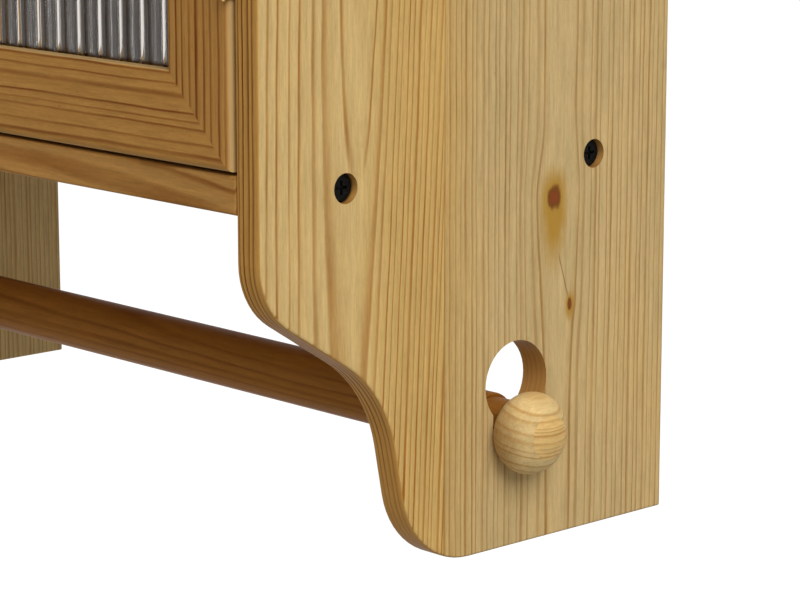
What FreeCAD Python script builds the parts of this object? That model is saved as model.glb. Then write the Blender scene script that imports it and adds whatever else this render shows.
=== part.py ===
"""Kitchen wall cabinet of pine with two reeded glass doors and a lift-out rail, in millimetres.

The wall is the plane Y = 0 and the cabinet stands out from it towards -Y. X runs to the right as seen
from the front and Z up. The origin is the middle of the two wall screw holes, on the wall.
"""

import FreeCAD
import Part
import Sketcher
import os
import re
from FreeCAD import Placement, Rotation, Vector

# Driving dimensions
SIZES = (
    ("overall_width", 600, "outside to outside of the side panels"),
    ("overall_height", 660, "foot to top of the side panels"),
    ("panel_depth", 300, "wall to front edge of the side panels"),
    ("panel_thickness", 18, "side panels"),
    ("board_thickness", 20, "top board and bottom shelf"),
    ("top_above_screws", 50, "wall screw line to the top"),
    ("shelf_height", 202, "foot to the underside of the bottom shelf"),
    ("arris", 1.6, "rounding of sawn edges"),
    ("nose_height", 155.3, "foot to the corner where the front edge turns back"),
    ("waist_inset", 85.8, "front edge to the corner at the waist"),
    ("waist_height", 101, "foot to the corner at the waist"),
    ("toe_inset", 105.3, "front edge to the front of the foot"),
    ("nose_radius", 41, "upper round of the front curve"),
    ("waist_radius", 77, "hollow of the front curve"),
    ("toe_radius", 50, "lower round of the front curve"),
    ("rail_inset", 181.7, "front edge to the rail axis"),
    ("rail_height", 65.3, "foot to the rail axis"),
    ("rail_lift", 26.3, "rail axis from the slot to the round of the keyhole"),
    ("rail_radius", 17.2, "rail between the panels"),
    ("neck_radius", 15.2, "turned ends of the rail inside the keyholes"),
    ("shoulder_round", 1.6, "rounding of the rail shoulders"),
    ("shoulder_gap", 0.5, "rail shoulder to the inside of the panel"),
    ("slot_radius", 17.5, "half width of the keyhole slot"),
    ("keyhole_radius", 23.5, "round of the keyhole"),
    ("resting_gap", 0.3, "rail neck to the bottom of the slot"),
    ("knob_radius", 22.7, "rail knob across"),
    ("knob_half_depth", 17.3, "rail knob along its axis"),
    ("knob_reach", 28.5, "panel to the tip of the rail knob"),
    ("knob_gap", 0.8, "panel to the flat back of the rail knob"),
    ("knob_dowel_radius", 6, "dowel between rail and knob"),
    ("knob_dowel_length", 30, "dowel between rail and knob"),
    ("bolt_front", 57.5, "front edge to the front bolts"),
    ("bolt_back", 59, "wall to the back bolts"),
    ("bolt_hole_radius", 8, "recess for the bolt head"),
    ("bolt_head_radius", 7.4, "connector bolt head"),
    ("bolt_head_depth", 3, "connector bolt head"),
    ("bolt_head_bevel", 0.7, "connector bolt head"),
    ("bolt_sunk", 3.5, "panel face to the bolt head"),
    ("bolt_radius", 3, "connector bolt shank"),
    ("bolt_length", 46, "connector bolt shank"),
    ("bolt_spare", 2, "bore beyond the tip of a bolt"),
    ("cross_length", 7.6, "cross recess in a bolt head"),
    ("cross_width", 1.6, "cross recess in a bolt head"),
    ("cross_depth", 1.8, "cross recess in a bolt head"),
    ("nut_inset", 30, "end of a board to its barrel nuts"),
    ("nut_radius", 5, "barrel nut"),
    ("nut_length", 14, "barrel nut"),
    ("dowel_radius", 4, "locating dowels"),
    ("dowel_in_panel", 12, "locating dowel inside the panel"),
    ("dowel_in_board", 16, "locating dowel inside the board"),
    ("fit", 0.1, "slack of a bored or grooved joint"),
    ("overcut", 1, "run-out of a cut past an edge"),
    ("back_thickness", 4, "back panel"),
    ("groove_depth", 6, "groove for the back panel"),
    ("hanging_depth", 18, "hanging rail, wall to back panel"),
    ("hanging_height", 60, "hanging rail"),
    ("hanging_dowel_rise", 18, "wall screw line to the hanging rail dowels"),
    ("wall_screw_spacing", 440, "between the wall screw holes"),
    ("wall_screw_radius", 3.25, "wall screw holes"),
    ("inner_shelf_rise", 190, "bottom shelf to the underside of the inner shelf"),
    ("inner_shelf_thickness", 18, "inner shelf"),
    ("inner_shelf_setback", 30, "front edge of the panels to the inner shelf"),
    ("inner_shelf_slack", 0.8, "inner shelf to each side panel"),
    ("pin_radius", 2.5, "shelf pins"),
    ("pin_length", 18, "shelf pins"),
    ("pin_front", 60, "front edge of the panels to the front pins"),
    ("pin_back", 60, "wall to the back pins"),
    ("pin_step", 64, "between pin holes"),
    ("door_gap", 2, "door to carcass and door to door"),
    ("door_proud", 3, "door face in front of the panels"),
    ("door_thickness", 20, "door frame"),
    ("frame_width", 47.5, "door frame members"),
    ("frame_round", 3.5, "outer front edge of the door"),
    ("sight_round", 1.2, "front edge of the door next to the glass"),
    ("rebate_width", 9, "glass rebate"),
    ("glass_setback", 7.5, "door face to the glass"),
    ("glass_thickness", 6, "glass over a reed"),
    ("glass_slack", 1, "glass to the sides of the rebate"),
    ("reed_rise", 2.4, "height of a reed"),
    ("bead_width", 8, "glazing bead"),
    ("bead_chamfer", 3, "glazing bead"),
    ("key_leg", 40, "corner key along each edge of the door"),
    ("key_thickness", 3, "corner key"),
    ("pull_rise", 120, "bottom of the door to its knob"),
    ("pull_radius", 14.5, "ball of the door knob"),
    ("pull_reach", 32.5, "door face to the tip of its knob"),
    ("pull_neck_radius", 6.5, "neck of the door knob"),
    ("pull_base_radius", 8.5, "foot of the door knob"),
    ("pull_base_depth", 2, "foot of the door knob"),
    ("pull_screw_radius", 2, "screw of the door knob"),
    ("pull_screw_grip", 14, "screw inside the door knob"),
    ("pull_head_radius", 4, "screw head of the door knob"),
    ("pull_head_depth", 2.4, "screw head of the door knob"),
    ("hinge_inset", 112, "end of the door to the middle of a hinge"),
    ("hinge_length", 50, "butt hinge"),
    ("hinge_forward", 2.2, "door face to the hinge pin axis"),
    ("leaf_thickness", 0.9, "hinge leaf"),
    ("leaf_width", 16, "hinge leaf behind the barrel"),
    ("barrel_radius", 2.6, "hinge barrel"),
    ("hinge_pin_radius", 1.5, "hinge pin"),
    ("pin_play", 0.05, "hinge pin in its knuckles"),
    ("knuckle_gap", 0.2, "between knuckles"),
    ("screw_pitch", 16, "between the screws of a leaf"),
    ("screw_head_radius", 2.5, "hinge screw"),
    ("screw_radius", 1.4, "hinge screw"),
    ("screw_length", 13, "hinge screw"),
    ("screw_tip", 2, "pointed end of a screw"),
    ("leaf_hole_radius", 1.7, "screw hole in a leaf"),
    ("catch_middle", 56, "middle of the cabinet to the middle of each catch"),
    ("catch_length", 46, "catch case"),
    ("catch_depth", 15, "catch case"),
    ("catch_height", 14, "catch case"),
    ("catch_setback", 1.4, "strike plate to the catch case"),
    ("pole_reach", 1.2, "pole plates in front of the case"),
    ("pole_length", 24, "pole plates"),
    ("pole_thickness", 1.2, "pole plates"),
    ("magnet_depth", 10, "magnet"),
    ("magnet_height", 4.6, "magnet"),
    ("catch_screw_inset", 5, "end of the case to its screws"),
    ("catch_screw_grip", 12, "catch screws inside the top board"),
    ("pan_head_radius", 3.2, "catch screw head"),
    ("pan_head_depth", 1.6, "catch screw head"),
    ("strike_length", 38, "strike plate"),
    ("strike_height", 10, "strike plate"),
    ("strike_margin", 1, "top of the door to the strike plate"),
    ("strike_thickness", 1.2, "strike plate"),
    ("strike_screw_grip", 8, "strike screw inside the door"),
    ("small_cross_length", 2.6, "cross recess in a screw head"),
    ("small_cross_width", 0.6, "cross recess in a screw head"),
    ("small_cross_depth", 0.8, "cross recess in a screw head"),
)
KNUCKLES = 5
LEAF_SCREWS = 3
REEDS = 11
TINY = 1e-4

# Places worked out from the sizes
FOOT = "(top_above_screws - overall_height)"
OUTSIDE = "(overall_width / 2)"
INSIDE = "(overall_width / 2 - panel_thickness)"
FRONT = "(-panel_depth)"
SHELF_TOP = f"({FOOT} + shelf_height + board_thickness)"
CEILING = "(top_above_screws - board_thickness)"
DOOR_WIDTH = f"({INSIDE} - 1.5 * door_gap)"
DOOR_ACROSS = f"(({DOOR_WIDTH} + door_gap) / 2)"
DOOR_HEIGHT = f"({CEILING} - {SHELF_TOP} - 2 * door_gap)"
DOOR_MIDDLE = f"(({CEILING} + {SHELF_TOP}) / 2)"
DOOR_BACK = f"({FRONT} - door_proud + door_thickness)"
FRONT_BOLT = f"({FRONT} + bolt_front)"
BACK_BOLT = "(-bolt_back)"
BOLT_PITCH = "(panel_depth - bolt_front - bolt_back)"
BACK_FACE = "(-hanging_depth - back_thickness)"
INNER_SHELF = f"({SHELF_TOP} + inner_shelf_rise)"
SLOT_MIDDLE = "(rail_height - neck_radius - resting_gap + slot_radius)"
KEYHOLE_MIDDLE = "(rail_height + rail_lift)"
RAIL_END = f"({OUTSIDE} + knob_gap)"
REBATE_INSET = "(frame_width - rebate_width)"
REBATE_WIDTH = f"({DOOR_WIDTH} - 2 * {REBATE_INSET})"
REBATE_HEIGHT = f"({DOOR_HEIGHT} - 2 * {REBATE_INSET})"
REBATE_DEPTH = "(door_thickness - glass_setback)"
HINGE_AXIS = f"({INSIDE} - door_gap / 2)"
HINGE_FRONT = f"({FRONT} - door_proud - hinge_forward)"
HINGE_SPACING = f"({DOOR_HEIGHT} - 2 * hinge_inset)"
HINGE_FOOT = f"({SHELF_TOP} + door_gap + hinge_inset - hinge_length / 2)"
LEAF_FACE = "(door_gap / 2 - leaf_thickness)"
LEAF_MIDDLE = "(barrel_radius + resting_gap + leaf_width / 2)"
FIRST_SCREW = f"((hinge_length - {LEAF_SCREWS - 1} * screw_pitch) / 2)"
STRIKE_MIDDLE = f"({CEILING} - door_gap - strike_margin - strike_height / 2)"
CATCH_FRONT = f"({DOOR_BACK} + strike_thickness + catch_setback)"
PULL_INSET = f"({REBATE_INSET} / 2)"

doc = FreeCAD.newDocument("wall_cabinet")
sheet = doc.addObject("Spreadsheet::Sheet", "Sizes")
pieces = []


def fill_sheet():
    """Write each driving dimension to its own row, with its name as alias."""
    for row, (alias, number, note) in enumerate(SIZES, start=1):
        sheet.set(f"A{row}", alias)
        sheet.set(f"B{row}", str(number))
        sheet.set(f"C{row}", note)
        sheet.setAlias(f"B{row}", alias)
    doc.recompute()


def sized(formula):
    """Point the size words of a formula at their cells."""
    aliases = {row[0] for row in SIZES}
    return re.sub(r"[a-z_]+", lambda word: f"Sizes.{word[0]}" if word[0] in aliases else word[0], formula)


def number(formula):
    """Present value of a formula."""
    return float(sheet.evalExpression(sized(formula)))


def keep(piece, label):
    """Name a finished piece and list it for writing."""
    piece.Label = label
    pieces.append(piece)
    return piece


def place(piece, across="0", back="0", up="0", turn=None):
    """Turn a piece, then set its place by formulas."""
    if turn is not None:
        piece.Placement = Placement(Vector(), turn)
    for axis, formula in zip("xyz", (across, back, up)):
        piece.setExpression(f"Placement.Base.{axis}", sized(formula))


def new_body(label):
    """Empty body under a piece's own name."""
    return keep(doc.addObject("PartDesign::Body", label), label)


def origin_item(body, role):
    """One of the body's own origin planes or axes."""
    return next(item for item in body.Origin.OriginFeatures if item.Role == role)


def sketch_on(body, role, offset="0"):
    """Empty sketch on an origin plane, moved along the plane's normal."""
    sketch = body.newObject("Sketcher::SketchObject", "Sketch")
    sketch.AttachmentSupport = [(origin_item(body, role), "")]
    sketch.MapMode = "FlatFace"
    sketch.setExpression("AttachmentOffset.Base.z", sized(offset))
    return sketch


def bind(sketch, formula, *constraint):
    """Add a dimension to a sketch and tie it to a formula."""
    index = sketch.addConstraint(Sketcher.Constraint(*constraint, number(formula)))
    sketch.setExpression(f"Constraints[{index}]", sized(formula))


def pin(sketch, item, point, across, up):
    """Fix a point of a sketch by its two coordinates."""
    bind(sketch, across, "DistanceX", item, point)
    bind(sketch, up, "DistanceY", item, point)


def polygon(sketch, corners):
    """Closed outline through corners given as pairs of formulas."""
    first = sketch.GeometryCount
    points = [Vector(number(across), number(up), 0) for across, up in corners]
    for start, end in zip(points, points[1:] + points[:1]):
        sketch.addGeometry(Part.LineSegment(start, end))
    for index, (across, up) in enumerate(corners):
        following = first + (index + 1) % len(corners)
        sketch.addConstraint(Sketcher.Constraint("Coincident", first + index, 2, following, 1))
        pin(sketch, first + index, 1, across, up)


def rectangle(sketch, left, right, low, high):
    """Closed rectangle between four formulas."""
    polygon(sketch, [(left, low), (right, low), (right, high), (left, high)])


def circle(sketch, across, up, radius):
    """Circle with its middle and radius given by formulas."""
    middle = Vector(number(across), number(up), 0)
    item = sketch.addGeometry(Part.Circle(middle, Vector(0, 0, 1), number(radius)))
    pin(sketch, item, 3, across, up)
    bind(sketch, radius, "Radius", item)


def pad(body, sketch, length, reverse=False):
    """Raise a sketch along its normal."""
    feature = body.newObject("PartDesign::Pad", "Pad")
    feature.Profile = sketch
    feature.Reversed = reverse
    feature.setExpression("Length", sized(length))
    doc.recompute()
    return feature


def pocket(body, sketch, depth, reverse=False):
    """Cut a sketch against its normal, or along it when reversed, and make sure that wood comes away."""
    before = body.Tip.Shape.Volume
    feature = body.newObject("PartDesign::Pocket", "Pocket")
    feature.Profile = sketch
    feature.Reversed = reverse
    feature.setExpression("Length", sized(depth))
    doc.recompute()
    if feature.Shape.Volume > before - TINY:
        raise ValueError(f"a cut in {body.Label} removes nothing")
    return feature


def drill(body, role, offset, spots, radius, depth, reverse=False):
    """Round holes of one size, bored from a plane."""
    sketch = sketch_on(body, role, offset)
    for across, up in spots:
        circle(sketch, across, up, radius)
    return pocket(body, sketch, depth, reverse)


def lathe(body, role, corners, axis):
    """Turn a half section about an axis of its sketch."""
    sketch = sketch_on(body, role)
    polygon(sketch, corners)
    feature = body.newObject("PartDesign::Revolution", "Turning")
    feature.Profile = sketch
    feature.ReferenceAxis = (sketch, [axis])
    feature.Angle = 360
    doc.recompute()
    return feature


def dress(body, kind, size, test):
    """Round or bevel the edges whose bounding box passes a test."""
    base = body.Tip
    names = [f"Edge{i}" for i, edge in enumerate(base.Shape.Edges, start=1) if test(edge.BoundBox)]
    feature = body.newObject(f"PartDesign::{kind}", kind)
    feature.Base = (base, names)
    feature.setExpression("Radius" if kind == "Fillet" else "Size", sized(size))
    doc.recompute()
    return feature


def repeat(body, steps, features=None):
    """Repeat features, or the whole body, along up to two axes given as role, length, count and sense."""
    feature = body.newObject("PartDesign::LinearPattern", "Repeat")
    if features:
        feature.Originals = features
    else:
        feature.TransformMode = "Whole shape"
    for suffix, (role, length, count, backwards) in zip(("", "2"), steps):
        setattr(feature, f"Direction{suffix}", (origin_item(body, role), [""]))
        setattr(feature, f"Reversed{suffix}", backwards)
        setattr(feature, f"Occurrences{suffix}", count)
        feature.setExpression(f"Length{suffix}", sized(length))
    body.Tip = feature
    doc.recompute()
    return feature


def mirror(body, features, roles):
    """Mirror features in origin planes."""
    feature = body.newObject("PartDesign::MultiTransform", "Mirrors")
    feature.Originals = features
    steps = []
    for role in roles:
        step = body.newObject("PartDesign::Mirrored", "Mirror")
        step.MirrorPlane = (origin_item(body, role), [""])
        steps.append(step)
    feature.Transformations = steps
    body.Tip = feature
    doc.recompute()
    return feature


def primitive(kind, name, turn=None, spot=("0", "0", "0"), **sizes):
    """Plain solid with its sizes and its place given by formulas."""
    solid = doc.addObject(f"Part::{kind}", name)
    for size, formula in sizes.items():
        solid.setExpression(size, sized(formula))
    place(solid, *spot, turn)
    return solid


def cut(base, tool, label):
    """Finished piece left when a tool is taken from a solid."""
    piece = doc.addObject("Part::Cut", label)
    piece.Base = base
    piece.Tool = tool
    return keep(piece, label)


def twin(piece, label):
    """Mirror image of a finished piece in the other half of the cabinet."""
    image = doc.addObject("Part::Mirroring", label)
    image.Source = piece
    image.Normal = Vector(1, 0, 0)
    return keep(image, label)


def cross_recess(body, role, offset, length, width, depth, reverse=False):
    """Cross-shaped recess for a screwdriver, in a head that looks along the normal of a plane."""
    sketch = sketch_on(body, role, offset)
    arm = f"{length} / 2"
    edge = f"{width} / 2"
    polygon(sketch, [
        (arm, f"-{edge}"), (arm, edge), (edge, edge), (edge, arm), (f"-{edge}", arm), (f"-{edge}", edge),
        (f"-{arm}", edge), (f"-{arm}", f"-{edge}"), (f"-{edge}", f"-{edge}"), (f"-{edge}", f"-{arm}"),
        (edge, f"-{arm}"), (edge, f"-{edge}"),
    ])
    return pocket(body, sketch, depth, reverse)


def small_cross(body, role, offset, reverse):
    """Cross recess of a small screw."""
    cross_recess(body, role, offset, "small_cross_length", "small_cross_width", "small_cross_depth",
                 reverse)


# Carcass


def keyhole(body, reverse):
    """Round hole that passes the knob, with a round-bottomed slot below it for the rail to rest in."""
    sketch = sketch_on(body, "YZ_Plane")
    across = f"({FRONT} + rail_inset)"
    middle = number(across)
    top = number(KEYHOLE_MIDDLE)
    bottom = number(SLOT_MIDDLE)
    half_slot = number("slot_radius")
    half_hole = number("keyhole_radius")
    meet = top - (half_hole ** 2 - half_slot ** 2) ** 0.5
    ends = [Vector(middle + side * half_slot, meet, 0) for side in (1, -1)]
    feet = [Vector(middle + side * half_slot, bottom, 0) for side in (1, -1)]
    hole = sketch.addGeometry(Part.Arc(ends[0], Vector(middle, top + half_hole, 0), ends[1]))
    left = sketch.addGeometry(Part.LineSegment(ends[1], feet[1]))
    slot = sketch.addGeometry(Part.Arc(feet[1], Vector(middle, bottom - half_slot, 0), feet[0]))
    right = sketch.addGeometry(Part.LineSegment(feet[0], ends[0]))
    sketch.addConstraint(Sketcher.Constraint("Coincident", hole, 2, left, 1))
    sketch.addConstraint(Sketcher.Constraint("Tangent", left, 2, slot, 1))
    sketch.addConstraint(Sketcher.Constraint("Tangent", slot, 2, right, 1))
    sketch.addConstraint(Sketcher.Constraint("Coincident", right, 2, hole, 1))
    sketch.addConstraint(Sketcher.Constraint("Vertical", left))
    sketch.addConstraint(Sketcher.Constraint("Vertical", right))
    pin(sketch, hole, 3, across, KEYHOLE_MIDDLE)
    pin(sketch, slot, 3, across, SLOT_MIDDLE)
    bind(sketch, "keyhole_radius", "Radius", hole)
    bind(sketch, "slot_radius", "Radius", slot)
    return pocket(body, sketch, "panel_thickness", reverse)


def side_panel(label, side):
    """Side panel with its curved lower front, seen along X; side is 1 on the right and -1 on the left."""
    body = new_body(label)
    outline = sketch_on(body, "YZ_Plane")
    curve = (
        (FRONT, "nose_height", "nose_radius"),
        (f"{FRONT} + waist_inset", "waist_height", "waist_radius"),
        (f"{FRONT} + toe_inset", "0", "toe_radius"),
    )
    corners = [(across, up) for across, up, radius in curve]
    polygon(outline, [(FRONT, "overall_height"), *corners, ("0", "0"), ("0", "overall_height")])
    pad(body, outline, "panel_thickness", reverse=side < 0)
    for across, up, radius in curve:
        spot = Vector(0, number(across), number(up))
        dress(body, "Fillet", radius, lambda box: (Vector(0, box.YMin, box.ZMin) - spot).Length < TINY
              and (Vector(0, box.YMax, box.ZMax) - spot).Length < TINY)
    dress(body, "Fillet", "arris", lambda box: box.XLength < TINY and box.YMin < -TINY)
    keyhole(body, reverse=side > 0)
    outer = f"{side} * panel_thickness"
    bolts = [
        (across, up)
        for across in (FRONT_BOLT, BACK_BOLT)
        for up in ("shelf_height + board_thickness / 2", "overall_height - board_thickness / 2")
    ]
    drill(body, "YZ_Plane", outer, bolts, "bolt_hole_radius", "bolt_sunk + bolt_head_depth", side < 0)
    drill(body, "YZ_Plane", outer, bolts, "bolt_radius + fit", "panel_thickness", side < 0)
    dowels = [
        (f"{FRONT} / 2", "shelf_height + board_thickness / 2"),
        (f"{FRONT} / 2", "overall_height - board_thickness / 2"),
        ("-hanging_depth / 2", f"hanging_dowel_rise - {FOOT}"),
        ("-hanging_depth / 2", f"-hanging_dowel_rise - {FOOT}"),
    ]
    drill(body, "YZ_Plane", "0", dowels, "dowel_radius + fit", "dowel_in_panel + fit", side > 0)
    pins = [
        (across, f"{INNER_SHELF} - {FOOT} - pin_radius + {step} * pin_step")
        for across in (f"{FRONT} + pin_front", "-pin_back")
        for step in (-1, 0, 1)
    ]
    drill(body, "YZ_Plane", "0", pins, "pin_radius + fit", "pin_length / 2 + fit", side > 0)
    groove = sketch_on(body, "YZ_Plane")
    rectangle(groove, f"{BACK_FACE} - fit", "-hanging_depth + fit",
              f"{SHELF_TOP} - {FOOT} - groove_depth", f"{CEILING} - {FOOT} + groove_depth")
    pocket(body, groove, "groove_depth", side > 0)
    screws = [
        (f"{HINGE_FRONT} + {LEAF_MIDDLE}",
         f"{HINGE_FOOT} - {FOOT} + {FIRST_SCREW} + {step} * screw_pitch + {hinge} * {HINGE_SPACING}")
        for hinge in (0, 1)
        for step in range(LEAF_SCREWS)
    ]
    drill(body, "YZ_Plane", "0", screws, "screw_radius + fit", "screw_length", side > 0)
    place(body, f"{side} * {INSIDE}", "0", FOOT)


def carcass_board(label, underside, groove_above):
    """Board between the side panels, bored for bolts, barrel nuts and dowels and grooved for the back."""
    body = new_body(label)
    plan = sketch_on(body, "XY_Plane")
    rectangle(plan, f"-{INSIDE}", INSIDE, FRONT, "0")
    pad(body, plan, "board_thickness")
    front = number(FRONT)
    dress(body, "Fillet", "arris", lambda box: box.YMax < front + TINY)
    bolts = [(across, "board_thickness / 2") for across in (FRONT_BOLT, BACK_BOLT)]
    dowels = [(f"{FRONT} / 2", "board_thickness / 2")]
    reach = "bolt_length + bolt_sunk + bolt_head_depth - panel_thickness + bolt_spare"
    for side in (1, -1):
        end = f"{side} * {INSIDE}"
        drill(body, "YZ_Plane", end, bolts, "bolt_radius + fit", reach, side < 0)
        drill(body, "YZ_Plane", end, dowels, "dowel_radius + fit", "dowel_in_board + fit", side < 0)
    nuts = [
        (f"{side} * ({INSIDE} - nut_inset)", up)
        for side in (1, -1)
        for up in (FRONT_BOLT, BACK_BOLT)
    ]
    drill(body, "XY_Plane", "0", nuts, "nut_radius + fit", "board_thickness / 2 + nut_length / 2", True)
    groove = sketch_on(body, "XY_Plane", "board_thickness" if groove_above else "0")
    rectangle(groove, f"-{INSIDE}", INSIDE, f"{BACK_FACE} - fit", "-hanging_depth + fit")
    pocket(body, groove, "groove_depth", not groove_above)
    place(body, "0", "0", underside)
    return body


def top_board():
    """Top board, with pilot holes for the catch screws as well."""
    body = carcass_board("top_board", CEILING, groove_above=False)
    spots = [
        (f"{side} * catch_middle + {end} * (catch_length / 2 - catch_screw_inset)",
         f"{CATCH_FRONT} + catch_depth / 2")
        for side in (1, -1)
        for end in (1, -1)
    ]
    drill(body, "XY_Plane", "0", spots, "screw_radius + fit", "catch_screw_grip", True)


def inner_shelf():
    """Loose shelf that lies on four pins."""
    body = new_body("inner_shelf")
    plan = sketch_on(body, "XY_Plane")
    rectangle(plan, f"inner_shelf_slack - {INSIDE}", f"{INSIDE} - inner_shelf_slack",
              f"{FRONT} + inner_shelf_setback", f"{BACK_FACE} - inner_shelf_slack")
    pad(body, plan, "inner_shelf_thickness")
    front = number(f"{FRONT} + inner_shelf_setback")
    dress(body, "Fillet", "arris", lambda box: box.YMax < front + TINY and box.XLength > TINY)
    place(body, "0", "0", INNER_SHELF)


def shelf_pins():
    """Four turned pins, half of each in a side panel."""
    body = new_body("shelf_pins")
    bevel = "pin_radius / 5"
    lathe(body, "XY_Plane", [
        ("0", "0"), ("pin_length", "0"), ("pin_length", f"pin_radius - {bevel}"),
        (f"pin_length - {bevel}", "pin_radius"), (bevel, "pin_radius"), ("0", f"pin_radius - {bevel}"),
    ], "H_Axis")
    repeat(body, [("X_Axis", f"2 * {INSIDE}", 2, True),
                  ("Y_Axis", "panel_depth - pin_front - pin_back", 2, False)])
    place(body, f"{INSIDE} - pin_length / 2", f"{FRONT} + pin_front", f"{INNER_SHELF} - pin_radius")


def wall_strip(label, width, low, high, depth, back):
    """Upright board across the back with the two wall screw holes."""
    body = new_body(label)
    face = sketch_on(body, "XZ_Plane")
    rectangle(face, f"-{width} / 2", f"{width} / 2", low, high)
    for side in (1, -1):
        circle(face, f"{side} * wall_screw_spacing / 2", "0", "wall_screw_radius")
    pad(body, face, depth)
    place(body, "0", back)
    return body


def back_panel():
    """Thin back that slides in the grooves."""
    reach = "(groove_depth - 5 * fit)"
    wall_strip("back_panel", f"(2 * {INSIDE} + 2 * {reach})", f"{SHELF_TOP} - {reach}",
               f"{CEILING} + {reach}", "back_thickness", "-hanging_depth")


def hanging_rail():
    """Strip behind the back that carries the cabinet on its wall screws."""
    body = wall_strip("hanging_rail", f"(2 * {INSIDE})", "-hanging_height / 2", "hanging_height / 2",
                      "hanging_depth", "0")
    spots = [("-hanging_depth / 2", f"{sense} * hanging_dowel_rise") for sense in (1, -1)]
    for side in (1, -1):
        drill(body, "YZ_Plane", f"{side} * {INSIDE}", spots, "dowel_radius + fit", "dowel_in_board + fit",
              side < 0)


def dowels(label, back, low, spacing):
    """Four locating dowels, two at each side panel."""
    body = new_body(label)
    section = sketch_on(body, "YZ_Plane")
    circle(section, "0", "0", "dowel_radius")
    pad(body, section, "dowel_in_panel + dowel_in_board")
    repeat(body, [("X_Axis", f"2 * {INSIDE} + dowel_in_panel - dowel_in_board", 2, True),
                  ("Z_Axis", spacing, 2, False)])
    place(body, f"{INSIDE} - dowel_in_board", back, low)


def connector_bolts(label, side):
    """Four cross-head bolts that pull a side panel against the boards."""
    body = new_body(label)
    seat = "-bolt_sunk - bolt_head_depth"
    lathe(body, "XY_Plane", [
        ("-bolt_sunk", "0"), ("-bolt_sunk", "bolt_head_radius - bolt_head_bevel"),
        ("-bolt_sunk - bolt_head_bevel", "bolt_head_radius"),
        (seat, "bolt_head_radius"), (seat, "bolt_radius"),
        (f"{seat} - bolt_length", "bolt_radius"), (f"{seat} - bolt_length", "0"),
    ], "H_Axis")
    cross_recess(body, "YZ_Plane", "-bolt_sunk", "cross_length", "cross_width", "cross_depth")
    repeat(body, [("Y_Axis", BOLT_PITCH, 2, side < 0),
                  ("Z_Axis", "overall_height - shelf_height - board_thickness", 2, False)])
    place(body, f"{side} * {OUTSIDE}", FRONT_BOLT, f"{FOOT} + shelf_height + board_thickness / 2",
          Rotation(Vector(0, 0, 1), 0 if side > 0 else 180))


def barrel_nuts(label, underside):
    """Four cross nuts in the underside of a board, bored for the bolts and slotted for a screwdriver."""
    body = new_body(label)
    section = sketch_on(body, "XY_Plane")
    circle(section, "0", "0", "nut_radius")
    pad(body, section, "nut_length")
    drill(body, "YZ_Plane", "nut_radius", [("0", "nut_length / 2")], "bolt_radius + fit", "2 * nut_radius")
    slot = sketch_on(body, "XY_Plane")
    rectangle(slot, "-nut_radius", "nut_radius", "-nut_radius / 8", "nut_radius / 8")
    pocket(body, slot, "nut_radius / 4", True)
    repeat(body, [("X_Axis", f"2 * ({INSIDE} - nut_inset)", 2, True), ("Y_Axis", BOLT_PITCH, 2, False)])
    place(body, f"{INSIDE} - nut_inset", FRONT_BOLT, f"{underside} + (board_thickness - nut_length) / 2")


def catches():
    """Two magnetic catches under the top board: cases with a magnet between two pole plates, and screws."""
    middles = [f"({side} * catch_middle)" for side in (1, -1)]
    screw_reach = "(catch_length / 2 - catch_screw_inset)"
    case = new_body("catch_cases")
    plan = sketch_on(case, "XY_Plane")
    for middle in middles:
        rectangle(plan, f"{middle} - catch_length / 2", f"{middle} + catch_length / 2", "0", "catch_depth")
    pad(case, plan, "catch_height")
    mouth = sketch_on(case, "XZ_Plane")
    stack = "(magnet_height / 2 + pole_thickness)"
    level = f"({STRIKE_MIDDLE} - {CEILING} + catch_height)"
    for middle in middles:
        rectangle(mouth, f"{middle} - pole_length / 2 - fit", f"{middle} + pole_length / 2 + fit",
                  f"{level} - {stack} - fit", f"{level} + {stack} + fit")
    pocket(case, mouth, "magnet_depth + fit")
    spots = [
        (f"{middle} + {end} * {screw_reach}", "catch_depth / 2")
        for middle in middles
        for end in (1, -1)
    ]
    drill(case, "XY_Plane", "catch_height", spots, "leaf_hole_radius", "catch_height")
    length = number("catch_length")
    dress(case, "Fillet", "arris / 2", lambda box: box.ZMax < TINY and box.XLength > length - TINY)
    place(case, "0", CATCH_FRONT, f"{CEILING} - catch_height")

    magnets = new_body("catch_magnets")
    face = sketch_on(magnets, "XZ_Plane")
    for middle in middles:
        rectangle(face, f"{middle} - pole_length / 2", f"{middle} + pole_length / 2",
                  "-magnet_height / 2", "magnet_height / 2")
    pad(magnets, face, "magnet_depth")
    place(magnets, "0", f"{CATCH_FRONT} + magnet_depth", STRIKE_MIDDLE)

    plates = new_body("catch_pole_plates")
    face = sketch_on(plates, "XZ_Plane")
    for middle in middles:
        for low in ("magnet_height / 2", "-magnet_height / 2 - pole_thickness"):
            rectangle(face, f"{middle} - pole_length / 2", f"{middle} + pole_length / 2",
                      low, f"{low} + pole_thickness")
    pad(plates, face, "magnet_depth + pole_reach")
    place(plates, "0", f"{CATCH_FRONT} + magnet_depth", STRIKE_MIDDLE)

    screws = new_body("catch_screws")
    lathe(screws, "XZ_Plane", [
        ("0", "-pan_head_depth"), ("pan_head_radius / 2", "-pan_head_depth"), ("pan_head_radius", "0"),
        ("screw_radius", "0"), ("screw_radius", "catch_height + catch_screw_grip - screw_tip"),
        ("0", "catch_height + catch_screw_grip"),
    ], "V_Axis")
    small_cross(screws, "XY_Plane", "-pan_head_depth", True)
    repeat(screws, [("X_Axis", f"2 * {screw_reach}", 2, False), ("X_Axis", "2 * catch_middle", 2, False)])
    place(screws, f"-catch_middle - {screw_reach}", f"{CATCH_FRONT} + catch_depth / 2",
          f"{CEILING} - catch_height")


# Hinges


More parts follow.
